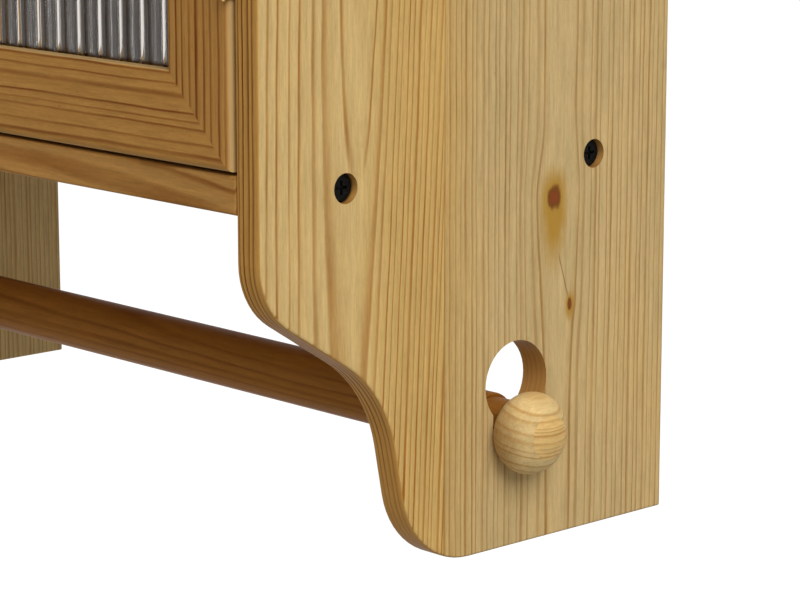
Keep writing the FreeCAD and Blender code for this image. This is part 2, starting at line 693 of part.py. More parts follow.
def hinge_leaf(label, side, level):
    """Leaf of a butt hinge with its knuckles; side is 1 on the side panel and -1 on the door."""
    body = new_body(label)
    near = f"{side} * {LEAF_FACE}"
    far = f"{side} * door_gap / 2"
    plate = sketch_on(body, "XY_Plane")
    rectangle(plate, near, far, "barrel_radius + resting_gap", "barrel_radius + resting_gap + leaf_width")
    pad(body, plate, "hinge_length")
    pitch = f"(hinge_length / {KNUCKLES})"
    count = (KNUCKLES + side) // 2
    first = "0" if side > 0 else pitch
    knuckle = sketch_on(body, "XY_Plane", f"{first} + knuckle_gap / 2")
    circle(knuckle, "0", "0", "barrel_radius")
    barrel = pad(body, knuckle, f"{pitch} - knuckle_gap")
    tongue = sketch_on(body, "XY_Plane", f"{first} + knuckle_gap / 2")
    rectangle(tongue, near, far, "hinge_pin_radius + resting_gap", "barrel_radius + 2 * resting_gap")
    bridge = pad(body, tongue, f"{pitch} - knuckle_gap")
    repeat(body, [("Z_Axis", f"{2 * (count - 1)} * {pitch}", count, False)], [barrel, bridge])
    drill(body, "XY_Plane", "0", [("0", "0")], "hinge_pin_radius + pin_play", "hinge_length", True)
    spots = [(LEAF_MIDDLE, f"{FIRST_SCREW} + {step} * screw_pitch") for step in range(LEAF_SCREWS)]
    drill(body, "YZ_Plane", far, spots, "leaf_hole_radius", "2 * leaf_thickness", side < 0)
    face = number(near)
    barrel_edge = number("barrel_radius + 2 * resting_gap")
    dress(body, "Chamfer", "screw_head_radius - leaf_hole_radius",
          lambda box: abs(box.XMin - face) < TINY and box.XLength < TINY and box.YMin > barrel_edge
          and abs(box.YLength - box.ZLength) < TINY)
    place(body, HINGE_AXIS, HINGE_FRONT, level)


def hinge_pin(label, level):
    """Pin with a button at each end of the barrel."""
    body = new_body(label)
    button = "barrel_radius * 0.9"
    lathe(body, "XZ_Plane", [
        ("0", f"-{button} / 2"), (f"{button} / 2", f"-{button} / 2"), (button, "0"),
        ("hinge_pin_radius", "0"),
        ("hinge_pin_radius", "hinge_length"), (button, "hinge_length"),
        (f"{button} / 2", f"hinge_length + {button} / 2"), ("0", f"hinge_length + {button} / 2"),
    ], "V_Axis")
    place(body, HINGE_AXIS, HINGE_FRONT, level)


def hinge_screws(label, side):
    """Countersunk screws of both hinges in one side."""
    body = new_body(label)
    sink = "(screw_head_radius - leaf_hole_radius)"
    lathe(body, "XY_Plane", [
        ("0", "0"), ("0", "screw_head_radius - fit / 2"),
        (f"{side} * {sink}", "leaf_hole_radius - fit / 2"), (f"{side} * leaf_thickness", "screw_radius"),
        (f"{side} * (screw_length - screw_tip)", "screw_radius"),
        (f"{side} * screw_length", "0"),
    ], "H_Axis")
    small_cross(body, "YZ_Plane", "0", side > 0)
    repeat(body, [("Z_Axis", f"{LEAF_SCREWS - 1} * screw_pitch", LEAF_SCREWS, False),
                  ("Z_Axis", HINGE_SPACING, 2, False)])
    place(body, f"{HINGE_AXIS} + {side} * {LEAF_FACE}", f"{HINGE_FRONT} + {LEAF_MIDDLE}",
          f"{HINGE_FOOT} + {FIRST_SCREW}")


# Door


def to_door_edge(piece, angle, inset="0", back=DOOR_BACK):
    """Turn a frame member, drawn lying along X with its inner edge up, to one edge of the right door."""
    spots = {
        0: (DOOR_ACROSS, f"{DOOR_MIDDLE} - {DOOR_HEIGHT} / 2 + {inset}"),
        -90: (f"{DOOR_ACROSS} + {DOOR_WIDTH} / 2 - {inset}", DOOR_MIDDLE),
        180: (DOOR_ACROSS, f"{DOOR_MIDDLE} + {DOOR_HEIGHT} / 2 - {inset}"),
        90: (f"{DOOR_ACROSS} - {DOOR_WIDTH} / 2 + {inset}", DOOR_MIDDLE),
    }
    across, up = spots[angle]
    upright = Rotation(Vector(0, 1, 0), angle).multiply(Rotation(Vector(1, 0, 0), 90))
    place(piece, across, back, up, upright)


def mitred(body, length, width):
    """Sketch of a strip with mitred ends, its long edge on the X axis."""
    sketch = sketch_on(body, "XY_Plane")
    polygon(sketch, [
        (f"-{length} / 2", "0"), (f"{length} / 2", "0"),
        (f"{length} / 2 - {width}", width), (f"-{length} / 2 + {width}", width),
    ])
    return sketch


def frame_member(label, length, angle):
    """Stile or rail: mitred, rebated for the glass, rounded at the front and slotted for corner keys."""
    body = new_body(label)
    pad(body, mitred(body, length, "frame_width"), "door_thickness")
    face = number("door_thickness")
    sight = number("frame_width")
    dress(body, "Fillet", "frame_round", lambda box: box.ZMin > face - TINY and box.YMax < TINY)
    dress(body, "Fillet", "sight_round", lambda box: box.ZMin > face - TINY and box.YMin > sight - TINY)
    rebate = sketch_on(body, "XY_Plane")
    rectangle(rebate, f"-{length} / 2", f"{length} / 2", REBATE_INSET, "frame_width + overcut")
    pocket(body, rebate, REBATE_DEPTH, True)
    kerf = sketch_on(body, "XY_Plane", "(door_thickness - key_thickness) / 2 - fit / 2")
    leg = "(key_leg + fit + overcut)"
    polygon(kerf, [(f"{length} / 2 - {leg}", "-overcut"), (f"{length} / 2 + overcut", "-overcut"),
                   (f"{length} / 2 + overcut", leg)])
    slot = pocket(body, kerf, "key_thickness + fit", True)
    mirror(body, [slot], ["YZ_Plane"])
    to_door_edge(body, angle)
    return body


def hinge_stile():
    """Stile on the hinge side, with pilot holes for the leaf screws in its edge."""
    body = frame_member("right_door_hinge_stile", DOOR_HEIGHT, -90)
    depth = f"({DOOR_BACK} - {HINGE_FRONT} - {LEAF_MIDDLE})"
    first = f"({HINGE_FOOT} - {DOOR_MIDDLE} + {FIRST_SCREW})"
    spots = [
        (f"{first} + {step} * screw_pitch + {hinge} * {HINGE_SPACING}", depth)
        for hinge in (0, 1)
        for step in range(LEAF_SCREWS)
    ]
    drill(body, "XZ_Plane", "0", spots, "screw_radius + fit", "screw_length")


def closing_stile():
    """Stile on the opening side, bored for the knob screw."""
    body = frame_member("right_door_closing_stile", DOOR_HEIGHT, 90)
    spot = (f"{DOOR_HEIGHT} / 2 - pull_rise", PULL_INSET)
    drill(body, "XY_Plane", "0", [spot], "pull_screw_radius + fit", "door_thickness", True)


def door_top_rail():
    """Rail along the top, with a pilot hole for the strike screw."""
    body = frame_member("right_door_top_rail", DOOR_WIDTH, 180)
    level = f"({DOOR_MIDDLE} + {DOOR_HEIGHT} / 2 - {STRIKE_MIDDLE})"
    spot = (f"{DOOR_ACROSS} - catch_middle", level)
    drill(body, "XY_Plane", "0", [spot], "screw_radius + fit", "strike_screw_grip", True)


def corner_keys():
    """Three-cornered keys glued in slots across the mitres."""
    body = new_body("right_door_corner_keys")
    face = sketch_on(body, "XZ_Plane", "door_thickness / 2 - key_thickness / 2")
    right = f"{DOOR_WIDTH} / 2"
    low = f"-{DOOR_HEIGHT} / 2"
    polygon(face, [(right, low), (right, f"{low} + key_leg"), (f"{right} - key_leg", low)])
    key = pad(body, face, "key_thickness")
    mirror(body, [key], ["YZ_Plane", "XY_Plane"])
    place(body, DOOR_ACROSS, DOOR_BACK, DOOR_MIDDLE)


def reeded_glass():
    """Pane with upright rounded reeds on its front, drawn as a plan and raised to its height."""
    body = new_body("right_door_glass")
    plan = sketch_on(body, "XY_Plane")
    width = f"({REBATE_WIDTH} - 2 * glass_slack)"
    valley = "(reed_rise - glass_thickness)"
    pitch = f"({width} / {REEDS})"
    radius = f"({pitch} ^ 2 / 8 / reed_rise + reed_rise / 2)"
    edges = [f"({index} * {pitch} - {width} / 2)" for index in range(REEDS + 1)]
    outline = []
    for left, right in zip(edges, edges[1:]):
        start = Vector(number(left), number(valley), 0)
        end = Vector(number(right), number(valley), 0)
        crest = Vector(number(f"({left} + {right}) / 2"), number("-glass_thickness"), 0)
        reed = plan.addGeometry(Part.Arc(start, crest, end))
        bind(plan, radius, "Radius", reed)
        outline.append(reed)
    corners = [(edges[-1], valley), (edges[-1], "0"), (edges[0], "0"), (edges[0], valley)]
    points = [Vector(number(across), number(up), 0) for across, up in corners]
    for start, end in zip(points, points[1:]):
        outline.append(plan.addGeometry(Part.LineSegment(start, end)))
    ends = [(edge, valley) for edge in edges[:-1]] + corners[:-1]
    for index, (across, up) in enumerate(ends):
        arc_drawn_backwards = plan.Geometry[outline[index]].StartPoint.distanceToPoint(
            Vector(number(across), number(up), 0)) > TINY
        pin(plan, outline[index], 2 if arc_drawn_backwards else 1, across, up)
    pin(plan, outline[REEDS + 2], 2, *corners[-1])
    doc.recompute()
    pad(body, plan, f"{REBATE_HEIGHT} - 2 * glass_slack")
    place(body, DOOR_ACROSS, f"{DOOR_BACK} - {REBATE_DEPTH} + glass_thickness + fit",
          f"{DOOR_MIDDLE} - {REBATE_HEIGHT} / 2 + glass_slack")


def glazing_bead(length, angle):
    """Mitred bead that holds one edge of the glass in its rebate from behind."""
    body = doc.addObject("PartDesign::Body", "bead")
    run = f"({length} - 2 * fit)"
    height = f"({REBATE_DEPTH} - glass_thickness - 2 * fit)"
    pad(body, mitred(body, run, "bead_width"), height)
    sight = number("bead_width")
    dress(body, "Chamfer", "bead_chamfer", lambda box: box.ZMax < TINY and box.YMin > sight - TINY)
    to_door_edge(body, angle, f"({REBATE_INSET} + fit)")
    return body


def glazing_beads():
    """Four beads round the glass."""
    edges = ((REBATE_WIDTH, 0), (REBATE_HEIGHT, -90), (REBATE_WIDTH, 180), (REBATE_HEIGHT, 90))
    beads = doc.addObject("Part::Compound", "beads")
    beads.Links = [glazing_bead(length, angle) for length, angle in edges]
    keep(beads, "right_door_beads")


def door_pull():
    """Turned ball knob on a short neck, with the screw that holds it through the stile."""
    across = f"({DOOR_ACROSS} - {DOOR_WIDTH} / 2 + {PULL_INSET})"
    level = f"({DOOR_MIDDLE} - {DOOR_HEIGHT} / 2 + pull_rise)"
    face = f"({DOOR_BACK} - door_thickness)"
    forward = Rotation(Vector(1, 0, 0), 90)
    ball = primitive("Sphere", "pull_ball", Radius="pull_radius",
                     spot=(across, f"{face} - pull_reach + pull_radius", level))
    neck = primitive("Cylinder", "pull_neck", forward, (across, face, level),
                     Radius="pull_neck_radius", Height="pull_reach - pull_radius")
    base = primitive("Cylinder", "pull_base", forward, (across, face, level),
                     Radius="pull_base_radius", Height="pull_base_depth")
    solid = doc.addObject("Part::MultiFuse", "pull_solid")
    solid.Shapes = [ball, neck, base]
    bore = primitive("Cylinder", "pull_bore", forward, (across, face, level),
                     Radius="pull_screw_radius + fit", Height="pull_screw_grip + fit")
    cut(solid, bore, "right_door_knob")

    screw = new_body("right_door_knob_screw")
    lathe(screw, "XY_Plane", [
        ("0", "pull_head_depth"), ("pull_head_radius * 0.6", "pull_head_depth"),
        ("pull_head_radius", "pull_head_depth / 2"), ("pull_head_radius", "0"), ("pull_screw_radius", "0"),
        ("pull_screw_radius", "-door_thickness - pull_screw_grip"),
        ("0", "-door_thickness - pull_screw_grip"),
    ], "V_Axis")
    small_cross(screw, "XZ_Plane", "-pull_head_depth", True)
    place(screw, across, DOOR_BACK, level)


def strike():
    """Steel plate on the back of the door for the catch, and its screw."""
    plate = new_body("right_door_strike")
    face = sketch_on(plate, "XZ_Plane")
    rectangle(face, "-strike_length / 2", "strike_length / 2", "-strike_height / 2", "strike_height / 2")
    circle(face, "0", "0", "leaf_hole_radius")
    pad(plate, face, "strike_thickness")
    dress(plate, "Chamfer", "screw_head_radius - leaf_hole_radius",
          lambda box: box.YMin > -TINY and abs(box.XLength - box.ZLength) < TINY and box.XLength > TINY)
    place(plate, "catch_middle", f"{DOOR_BACK} + strike_thickness", STRIKE_MIDDLE)

    screw = new_body("right_door_strike_screw")
    sink = "(screw_head_radius - leaf_hole_radius)"
    lathe(screw, "XY_Plane", [
        ("0", "0"), ("screw_head_radius - fit / 2", "0"), ("leaf_hole_radius - fit / 2", f"-{sink}"),
        ("screw_radius", "-strike_thickness"),
        ("screw_radius", "screw_tip - strike_thickness - strike_screw_grip"),
        ("0", "-strike_thickness - strike_screw_grip"),
    ], "V_Axis")
    small_cross(screw, "XZ_Plane", "0", True)
    place(screw, "catch_middle", f"{DOOR_BACK} + strike_thickness", STRIKE_MIDDLE)


# Rail


def towel_rail():
    """Round rail with turned necks that rest in the keyholes."""
    body = new_body("towel_rail")
    shoulder = f"({INSIDE} - shoulder_gap)"
    half = [
        (shoulder, "rail_radius"), (shoulder, "neck_radius"), (RAIL_END, "neck_radius"), (RAIL_END, "0"),
    ]
    other = [(f"-{across}", up) for across, up in reversed(half)]
    lathe(body, "XY_Plane", other + half, "H_Axis")
    edge = number(shoulder)
    across = 2 * number("rail_radius")
    dress(body, "Fillet", "shoulder_round", lambda box: box.XLength < TINY and box.YLength > across - TINY
          and abs(abs(box.XMin) - edge) < TINY)
    for side in (1, -1):
        drill(body, "YZ_Plane", f"{side} * {RAIL_END}", [("0", "0")], "knob_dowel_radius + fit",
              "knob_dowel_length / 2 + fit", side < 0)
    place(body, "0", f"{FRONT} + rail_inset", f"{FOOT} + rail_height")


def rail_knob(label, side):
    """Flattened ball with a flat back, bored for its dowel."""
    outward = Rotation(Vector(0, 1, 0), 90 * side)
    back = f"{FRONT} + rail_inset"
    level = f"{FOOT} + rail_height"
    ball = primitive("Ellipsoid", f"{label}_ball", outward,
                     (f"{side} * ({OUTSIDE} + knob_reach - knob_half_depth)", back, level),
                     Radius1="knob_half_depth", Radius2="knob_radius", Radius3="knob_radius",
                     Angle1="-asin((knob_reach - knob_gap - knob_half_depth) / knob_half_depth)")
    bore = primitive("Cylinder", f"{label}_bore", outward, (f"{side} * {RAIL_END}", back, level),
                     Radius="knob_dowel_radius + fit", Height="knob_dowel_length / 2 + fit")
    cut(ball, bore, label)


def rail_knob_dowels():
    """Dowels that join the knobs to the ends of the rail."""
    body = new_body("rail_knob_dowels")
    section = sketch_on(body, "YZ_Plane")
    circle(section, "0", "0", "knob_dowel_radius")
    pad(body, section, "knob_dowel_length")
    repeat(body, [("X_Axis", f"2 * {RAIL_END}", 2, True)])
    place(body, f"{RAIL_END} - knob_dowel_length / 2", f"{FRONT} + rail_inset", f"{FOOT} + rail_height")


def right_door():
    """Right door with its hinges, on the door and on the side panel."""
    for height, level in (("lower", HINGE_FOOT), ("upper", f"({HINGE_FOOT} + {HINGE_SPACING})")):
        hinge_leaf(f"right_jamb_leaf_{height}", 1, level)
        hinge_leaf(f"right_door_leaf_{height}", -1, level)
        hinge_pin(f"right_hinge_pin_{height}", level)
    hinge_screws("right_jamb_leaf_screws", 1)
    hinge_screws("right_door_leaf_screws", -1)
    hinge_stile()
    closing_stile()
    door_top_rail()
    frame_member("right_door_bottom_rail", DOOR_WIDTH, 0)
    corner_keys()
    reeded_glass()
    glazing_beads()
    door_pull()
    strike()


def build():
    """Make every piece in its place."""
    side_panel("side_panel_right", 1)
    side_panel("side_panel_left", -1)
    carcass_board("bottom_shelf", f"({FOOT} + shelf_height)", groove_above=True)
    top_board()
    inner_shelf()
    shelf_pins()
    back_panel()
    hanging_rail()
    board_middle = f"{FOOT} + shelf_height + board_thickness / 2"
    dowels("board_dowels", f"{FRONT} / 2", board_middle, "overall_height - shelf_height - board_thickness")
    dowels("hanging_rail_dowels", "-hanging_depth / 2", "-hanging_dowel_rise", "2 * hanging_dowel_rise")
    connector_bolts("connector_bolts_right", 1)
    connector_bolts("connector_bolts_left", -1)
    barrel_nuts("shelf_barrel_nuts", f"({FOOT} + shelf_height)")
    barrel_nuts("top_barrel_nuts", CEILING)
    catches()
    towel_rail()
    rail_knob("rail_knob_right", 1)
    rail_knob("rail_knob_left", -1)
    rail_knob_dowels()
    made = len(pieces)
    right_door()
    for piece in pieces[made:]:
        twin(piece, piece.Label.replace("right", "left"))


def write():
    """Check every object and piece, then write one file for each piece."""
    doc.recompute()
    for item in doc.Objects:
        if "Invalid" in item.State or "Error" in item.State:
            raise RuntimeError(f"{item.Label} could not be computed")
    for piece in pieces:
        if piece.Shape.isNull() or not piece.Shape.isValid():
            raise RuntimeError(f"{piece.Label} is not a sound solid")
    os.makedirs("parts", exist_ok=True)
    for piece in pieces:
        piece.Shape.exportStep(f"parts/{piece.Label}.step")


fill_sheet()
build()
write()
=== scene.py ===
import math
from collections import namedtuple

import bpy
from bpy.props import FloatProperty, FloatVectorProperty, PointerProperty
from bpy.types import Operator, Panel, PropertyGroup
from mathutils import Euler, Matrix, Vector


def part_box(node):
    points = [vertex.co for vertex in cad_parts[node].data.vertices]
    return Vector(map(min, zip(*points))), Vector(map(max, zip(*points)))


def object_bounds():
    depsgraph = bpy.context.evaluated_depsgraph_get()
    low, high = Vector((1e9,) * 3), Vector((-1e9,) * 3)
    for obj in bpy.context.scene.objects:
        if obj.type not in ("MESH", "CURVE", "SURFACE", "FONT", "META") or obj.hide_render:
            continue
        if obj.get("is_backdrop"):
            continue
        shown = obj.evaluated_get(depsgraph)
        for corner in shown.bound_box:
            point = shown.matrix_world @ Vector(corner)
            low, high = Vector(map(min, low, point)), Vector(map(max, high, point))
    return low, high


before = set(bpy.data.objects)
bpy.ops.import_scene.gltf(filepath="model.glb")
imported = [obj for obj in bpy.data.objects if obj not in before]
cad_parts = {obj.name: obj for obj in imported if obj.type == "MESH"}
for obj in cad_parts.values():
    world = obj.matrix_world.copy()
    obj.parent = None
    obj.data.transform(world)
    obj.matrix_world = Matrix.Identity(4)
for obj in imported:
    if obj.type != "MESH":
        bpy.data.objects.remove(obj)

bl_info = {
    "name": "Pine Wall Cabinet",
    "version": (1, 0, 0),
    "blender": (4, 5, 0),
    "location": "3D View > Sidebar > Cabinet",
    "description": "Finishes for a pine wall cabinet with reeded glass doors and a lift-out rail",
    "category": "Object",
}

MILLIMETRES = 1000.0

HANDS = ("right", "left")
AXES = "XYZ"

# A stave is one board cut from a trunk: where the pith lies beside and below it, and how its rings run.
# Rings close to points along the pith around the height called apex. Sizes are in millimetres.
Stave = namedtuple(
    "Stave", "pith_across pith_deep apex spacing taper sway seed lean tilt", defaults=(0.0, 0.0))
Knot = namedtuple("Knot", "across along width height tail push")
# A plug is a round end of another stave, turned flush with the surface.
Plug = namedtuple("Plug", "along across radius stave pale dark")
PLUG_RADIUS = 12.5
PLUG_JOINT = 0.4
TAPER_REACH = 150.0

# Tones that a wood colour is multiplied by
LATE_TONE = (0.80, 0.71, 0.55)
CLOUD_TONE = (0.95, 0.88, 0.74)
SEAM_TONE = (0.95, 0.87, 0.71)
END_GRAIN_TONE = (0.60, 0.53, 0.46)
KNOT_STAIN_TONE = (1.15, 1.1, 0.3)
KNOT_HEART_TONE = (0.62, 0.27, 0.30)
KNOT_RIM_TONE = (0.30, 0.13, 0.18)
VARNISH_SPECULAR = 0.02

WORN_METAL = 0.55
OXIDE_SPECULAR = 0.05

REEDS = 11
FLUTES_PER_REED = 3
FLUTE_RISE = 0.2
RIPPLE_RISE = 0.35
GLASS_IOR = 1.42
GLASS_SHEEN = 0.8

# Places of the lights from the middle of the cabinet, and their sizes, in metres
KEY_PLACE = (4.0, -1.3, 3.2)
KEY_SIDE = 3.2
FRONT_STRIP_PLACE = (-1.7, -2.0, 0.2)
LEFT_STRIP_PLACE = (-2.2, 0.1, 0.2)
STRIP_WIDTH = 0.12
STRIP_HEIGHT = 2.4
# Direction in which the room is brightest
BRIGHT_SIDE = (0.55, -0.65, 0.52)
# Camera sensor in millimetres
SENSOR_WIDTH = 36.0

# The floor's half in metres, then the distances in millimetres between which its glow changes
FLOOR_HALF = 60.0
FLOOR_NEAR = 2000
FLOOR_FAR = 3400
NEAR_GLOW = 2.2
FAR_GLOW = 1.18
NEAR_GLOW_SHARE = 0.40
FAR_GLOW_SHARE = 0.85


# Node arithmetic


class Shade:
    """One output of a node, with arithmetic that adds nodes to its tree."""

    def __init__(self, tree, output):
        self.tree = tree
        self.output = output

    def node(self, kind, settings=None, inputs=None, output=0):
        """Any node: its settings first, then the values or links of its sockets."""
        made = self.tree.nodes.new(kind)
        for name, value in (settings or {}).items():
            setattr(made, name, value)
        for name, value in (inputs or {}).items():
            if isinstance(value, Shade):
                self.tree.links.new(value.output, made.inputs[name])
            else:
                made.inputs[name].default_value = value
        return Shade(self.tree, made.outputs[output])

    def math(self, operation, *values):
        """Math node on this value and others."""
        return self.node("ShaderNodeMath", {"operation": operation}, dict(enumerate((self, *values))))

    def __add__(self, other):
        return self.math("ADD", other)

    __radd__ = __add__

    def __sub__(self, other):
        return self.math("SUBTRACT", other)

    def __rsub__(self, other):
        return self.node("ShaderNodeMath", {"operation": "SUBTRACT"}, {0: other, 1: self})

    def __mul__(self, other):
        return self.math("MULTIPLY", other)

    __rmul__ = __mul__

    def __truediv__(self, other):
        return self.math("DIVIDE", other)

    def __pow__(self, other):
        return self.math("POWER", other)

    def between(self, low, high):
        """Smooth step from 0 at low to 1 at high."""
        return self.node("ShaderNodeMapRange", {"interpolation_type": "SMOOTHSTEP"},
                         {"Value": self, "From Min": low, "From Max": high})

    def vector(self, *others):
        """Vector of this value and two others."""
        return self.node("ShaderNodeCombineXYZ", None, dict(enumerate((self, *others))))

    def noise(self, scale, detail=2.0, roughness=0.5):
        """Soft noise around zero at a place."""
        made = self.node("ShaderNodeTexNoise", {"normalize": True},
                         {"Vector": self, "Scale": scale, "Detail": detail, "Roughness": roughness})
        return made - 0.5

    def mixed(self, start, end, blend="MIX"):
        """Colour between two others by this value."""
        return self.node("ShaderNodeMix", {"data_type": "RGBA", "blend_type": blend},
                         {0: self, 6: start, 7: end}, 2)


def new_material(name):
    """Empty material, its surface shader and the place on the object in millimetres, as three values."""
    material = bpy.data.materials.new(name)
    material.use_nodes = True
    tree = material.node_tree
    shader = tree.nodes["Principled BSDF"]
    place = Shade(tree, tree.nodes.new("ShaderNodeTexCoord").outputs["Object"])
    scaled = place.node("ShaderNodeVectorMath", {"operation": "SCALE"}, {0: place, "Scale": MILLIMETRES})
    axes = [scaled.node("ShaderNodeSeparateXYZ", None, {0: scaled}, index) for index in range(3)]
    return material, shader, axes


def connect(shader, **links):
    """Link values to sockets of a shader, with spaces written as underscores."""
    for name, value in links.items():
        value.tree.links.new(value.output, shader.inputs[name.replace("_", " ").title()])


def bumped(height, strength, depth):
    """Surface direction after a fine relief, with its depth in metres."""
    return height.node("ShaderNodeBump", None, {"Height": height, "Strength": strength, "Distance": depth})


def facing(axis_index, shade):
    """How squarely the surface looks along one axis of the object."""
    normal = Shade(shade.tree, shade.tree.nodes.new("ShaderNodeTexCoord").outputs["Normal"])
    return normal.node("ShaderNodeSeparateXYZ", None, {0: normal}, axis_index).math("ABSOLUTE")


def both(*names):
    """Names of pieces that the right and the left door have alike."""
    return [f"{hand}_{name}" for hand in HANDS for name in names]


def dress(material, *names):
    """Give a material to nodes of the cabinet."""
    for name in names:
        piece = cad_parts[name]
        piece.data.materials.clear()
        piece.data.materials.append(material)


# Wood


def opaque(colour):
    """Colour with full alpha, as a socket takes it."""
    return (*colour, 1.0)


def toned(colour, tone):
    """Opaque colour multiplied by a tone, channel by channel."""
    return opaque([channel * share for channel, share in zip(colour, tone)])


def knot_reach(across, along, knot):
    """Distance from the middle of a knot, counted in its own size, with a longer tail on its low side."""
    side = (across - knot.across) / knot.width
    rise = (along - knot.along) / knot.height
    low = rise.math("LESS_THAN", 0.0)
    rise = rise * (1 - low * (1 - 1 / knot.tail))
    return (side * side + rise * rise) ** 0.5


# Noise scales count cycles per millimetre. Dividing a place along the fibre draws its pattern out.
def growth_rings(along, across, deep, stave, knots=()):
    """Growth rings of a stave: how far each year has darkened and its late line, both from 0 to 1."""
    for knot in knots:
        reach = knot_reach(across, along, knot)
        pull = (reach * reach * -0.08).math("EXPONENT") * knot.push
        across = across - (across - knot.across) * pull
    place = (across + stave.seed * 37).vector(deep, along / 9)
    waves = (across + stave.seed * 19).vector(deep, along / 3).noise(0.06, 2.0)
    side = across - stave.pith_across - (along - stave.apex) * stave.tilt
    side = side + place.noise(0.011, 1.0) * stave.sway + waves * 1.6
    side = side + side.math("ABSOLUTE") * stave.lean
    depth = deep - stave.pith_deep
    radius = (side * side + depth * depth) ** 0.5
    steep = side.math("ABSOLUTE") / radius
    height = ((along - stave.apex) / TAPER_REACH).math("TANH") * TAPER_REACH
    grown = radius + height * stave.taper * (1.25 - steep) + place.noise(0.05, 2.0) * 2.0
    years = grown / stave.spacing + stave.seed
    years = years + years.vector(stave.seed, 0.0).noise(0.7, 1.0) * 1.8
    ring = years.math("FRACT")
    year = years.math("FLOOR")
    weight = year.node("ShaderNodeTexWhiteNoise", {"noise_dimensions": "1D"}, {"W": year + stave.seed})
    end = 1 - ring.between(0.80, 1.0)
    line = ring.between(0.52, 0.78) * end * (weight * 0.5 + 0.5)
    sloping = steep.between(0.04, 0.36)
    return ring.between(0.0, 0.7) * end * (sloping * 0.7 + 0.3), line * sloping


def wood_colour(along, across, deep, rings, pale, dark, seed):
    """Ring colours with the streaks, clouds and flecks of the fibre; also the fibre's relief."""
    darkened, line = rings
    place = (across + seed * 53).vector(deep, along / 12)
    streaks = place.noise(0.35, 4.0, 0.6)
    fibre = (across + seed * 29).vector(deep, along / 40).noise(1.6, 2.0, 0.7)
    clouds = (across + seed * 91).vector(deep, along / 4).noise(0.025, 3.0)
    fade = (across + seed * 17).vector(deep, along / 5).noise(0.05, 2.0)
    pores = (across + seed * 11).vector(deep, along / 5).noise(0.8, 3.0, 0.7)
    flecks = (across * 1.3).vector(deep * 1.3, along / 3 + seed).noise(0.6, 1.0)
    colour = (darkened * 0.32).mixed(opaque(pale), toned(pale, LATE_TONE))
    colour = (line * (fade * 2.0 + 0.9)).mixed(colour, opaque(dark))
    colour = (clouds.between(0.0, 0.3) * 0.5).mixed(colour, opaque(CLOUD_TONE), "MULTIPLY")
    colour = (flecks.between(0.2, 0.3) * 0.3).mixed(colour, opaque(dark))
    light = streaks * 0.55 + fibre * 0.35 + pores * 0.35 + clouds * 0.35 + 1.0
    colour = colour.node("ShaderNodeVectorMath", {"operation": "SCALE"}, {0: colour, "Scale": light})
    return colour, fibre + streaks


def end_grain(colour, axis_index):
    """Greyer, darker tone where the saw crossed the fibre."""
    crossed = facing(axis_index, colour).between(0.55, 0.98)
    return (crossed * 0.8).mixed(colour, opaque(END_GRAIN_TONE), "MULTIPLY")


def varnish(shader, colour, relief, gloss):
    """Clear satin varnish over wood."""
    connect(shader, base_color=colour, roughness=relief * 0.15 + gloss, normal=bumped(relief, 0.2, 0.0001))
    shader.inputs["Specular IOR Level"].default_value = VARNISH_SPECULAR


def plain_pine(name, order, stave, pale, dark, gloss, edge_highlight=None, plug=None):
    """Pine from one stave; order gives the axes along, across and through the board.

    An edge highlight colour is a painted highlight: it is mixed onto faces that turn away from the front,
    such as rounded-over edges, in place of the side light on them. A plug shows a stave of its own.
    """
    material, shader, axes = new_material(name)
    indices = [AXES.index(letter) for letter in order]
    along, across, deep = (axes[index] for index in indices)
    colour, relief = stave_look(along, across, deep, stave, pale, dark)
    if plug:
        side = along - plug.along
        rise = across - plug.across
        inside = 1 - ((side * side + rise * rise) ** 0.5).between(plug.radius - PLUG_JOINT, plug.radius)
        plug_colour, _ = stave_look(along, across, deep, plug.stave, plug.pale, plug.dark)
        colour = inside.mixed(colour, plug_colour)
    # Painted highlight: faces turned away from the front are mixed towards a paler colour, standing in for
    # side light.
    if edge_highlight:
        turned = 1 - facing(indices[2], colour).between(0.45, 0.95)
        colour = (turned * 0.6).mixed(colour, opaque(edge_highlight))
    varnish(shader, end_grain(colour, indices[0]), relief, gloss)
    return material


def stave_look(along, across, deep, stave, pale, dark, knots=()):
    """Colour and relief of one stave with its knots."""
    rings = growth_rings(along, across, deep, stave, knots)
    colour, relief = wood_colour(along, across, deep, rings, pale, dark, stave.seed)
    for knot in knots:
        colour = with_knot(colour, across, along, knot, dark)
    return colour, relief


def with_knot(colour, across, along, knot, dark):
    """Red-brown heart of a knot in a resin stain."""
    ragged = across.vector(along / 3, knot.along).noise(0.25, 2.0) * 0.9
    reach = knot_reach(across, along, knot) + ragged
    stain = (1 - reach.between(0.9, 2.8)) * 0.85
    colour = stain.mixed(colour, toned(dark, KNOT_STAIN_TONE))
    core = knot_reach(across, along, knot._replace(tail=1.0)) + ragged
    heart = (1 - core.between(0.5, 1.15)) * 0.95
    colour = heart.mixed(colour, toned(dark, KNOT_HEART_TONE))
    rim = core.between(0.45, 0.8) * (1 - core.between(0.8, 1.2)) * 0.6
    return rim.mixed(colour, toned(dark, KNOT_RIM_TONE))


def with_streak(colour, across, along, top, foot, dark):
    """Thin dark resin streak, straight between two places that are given across and along."""
    slope = (foot[0] - top[0]) / (foot[1] - top[1])
    away = (across - (along - top[1]) * slope - top[0]).math("ABSOLUTE")
    run = along.between(foot[1], foot[1] + 4) * (1 - along.between(top[1] - 8, top[1]))
    return ((1 - away.between(0.2, 0.7)) * run * 0.55).mixed(colour, opaque(dark))


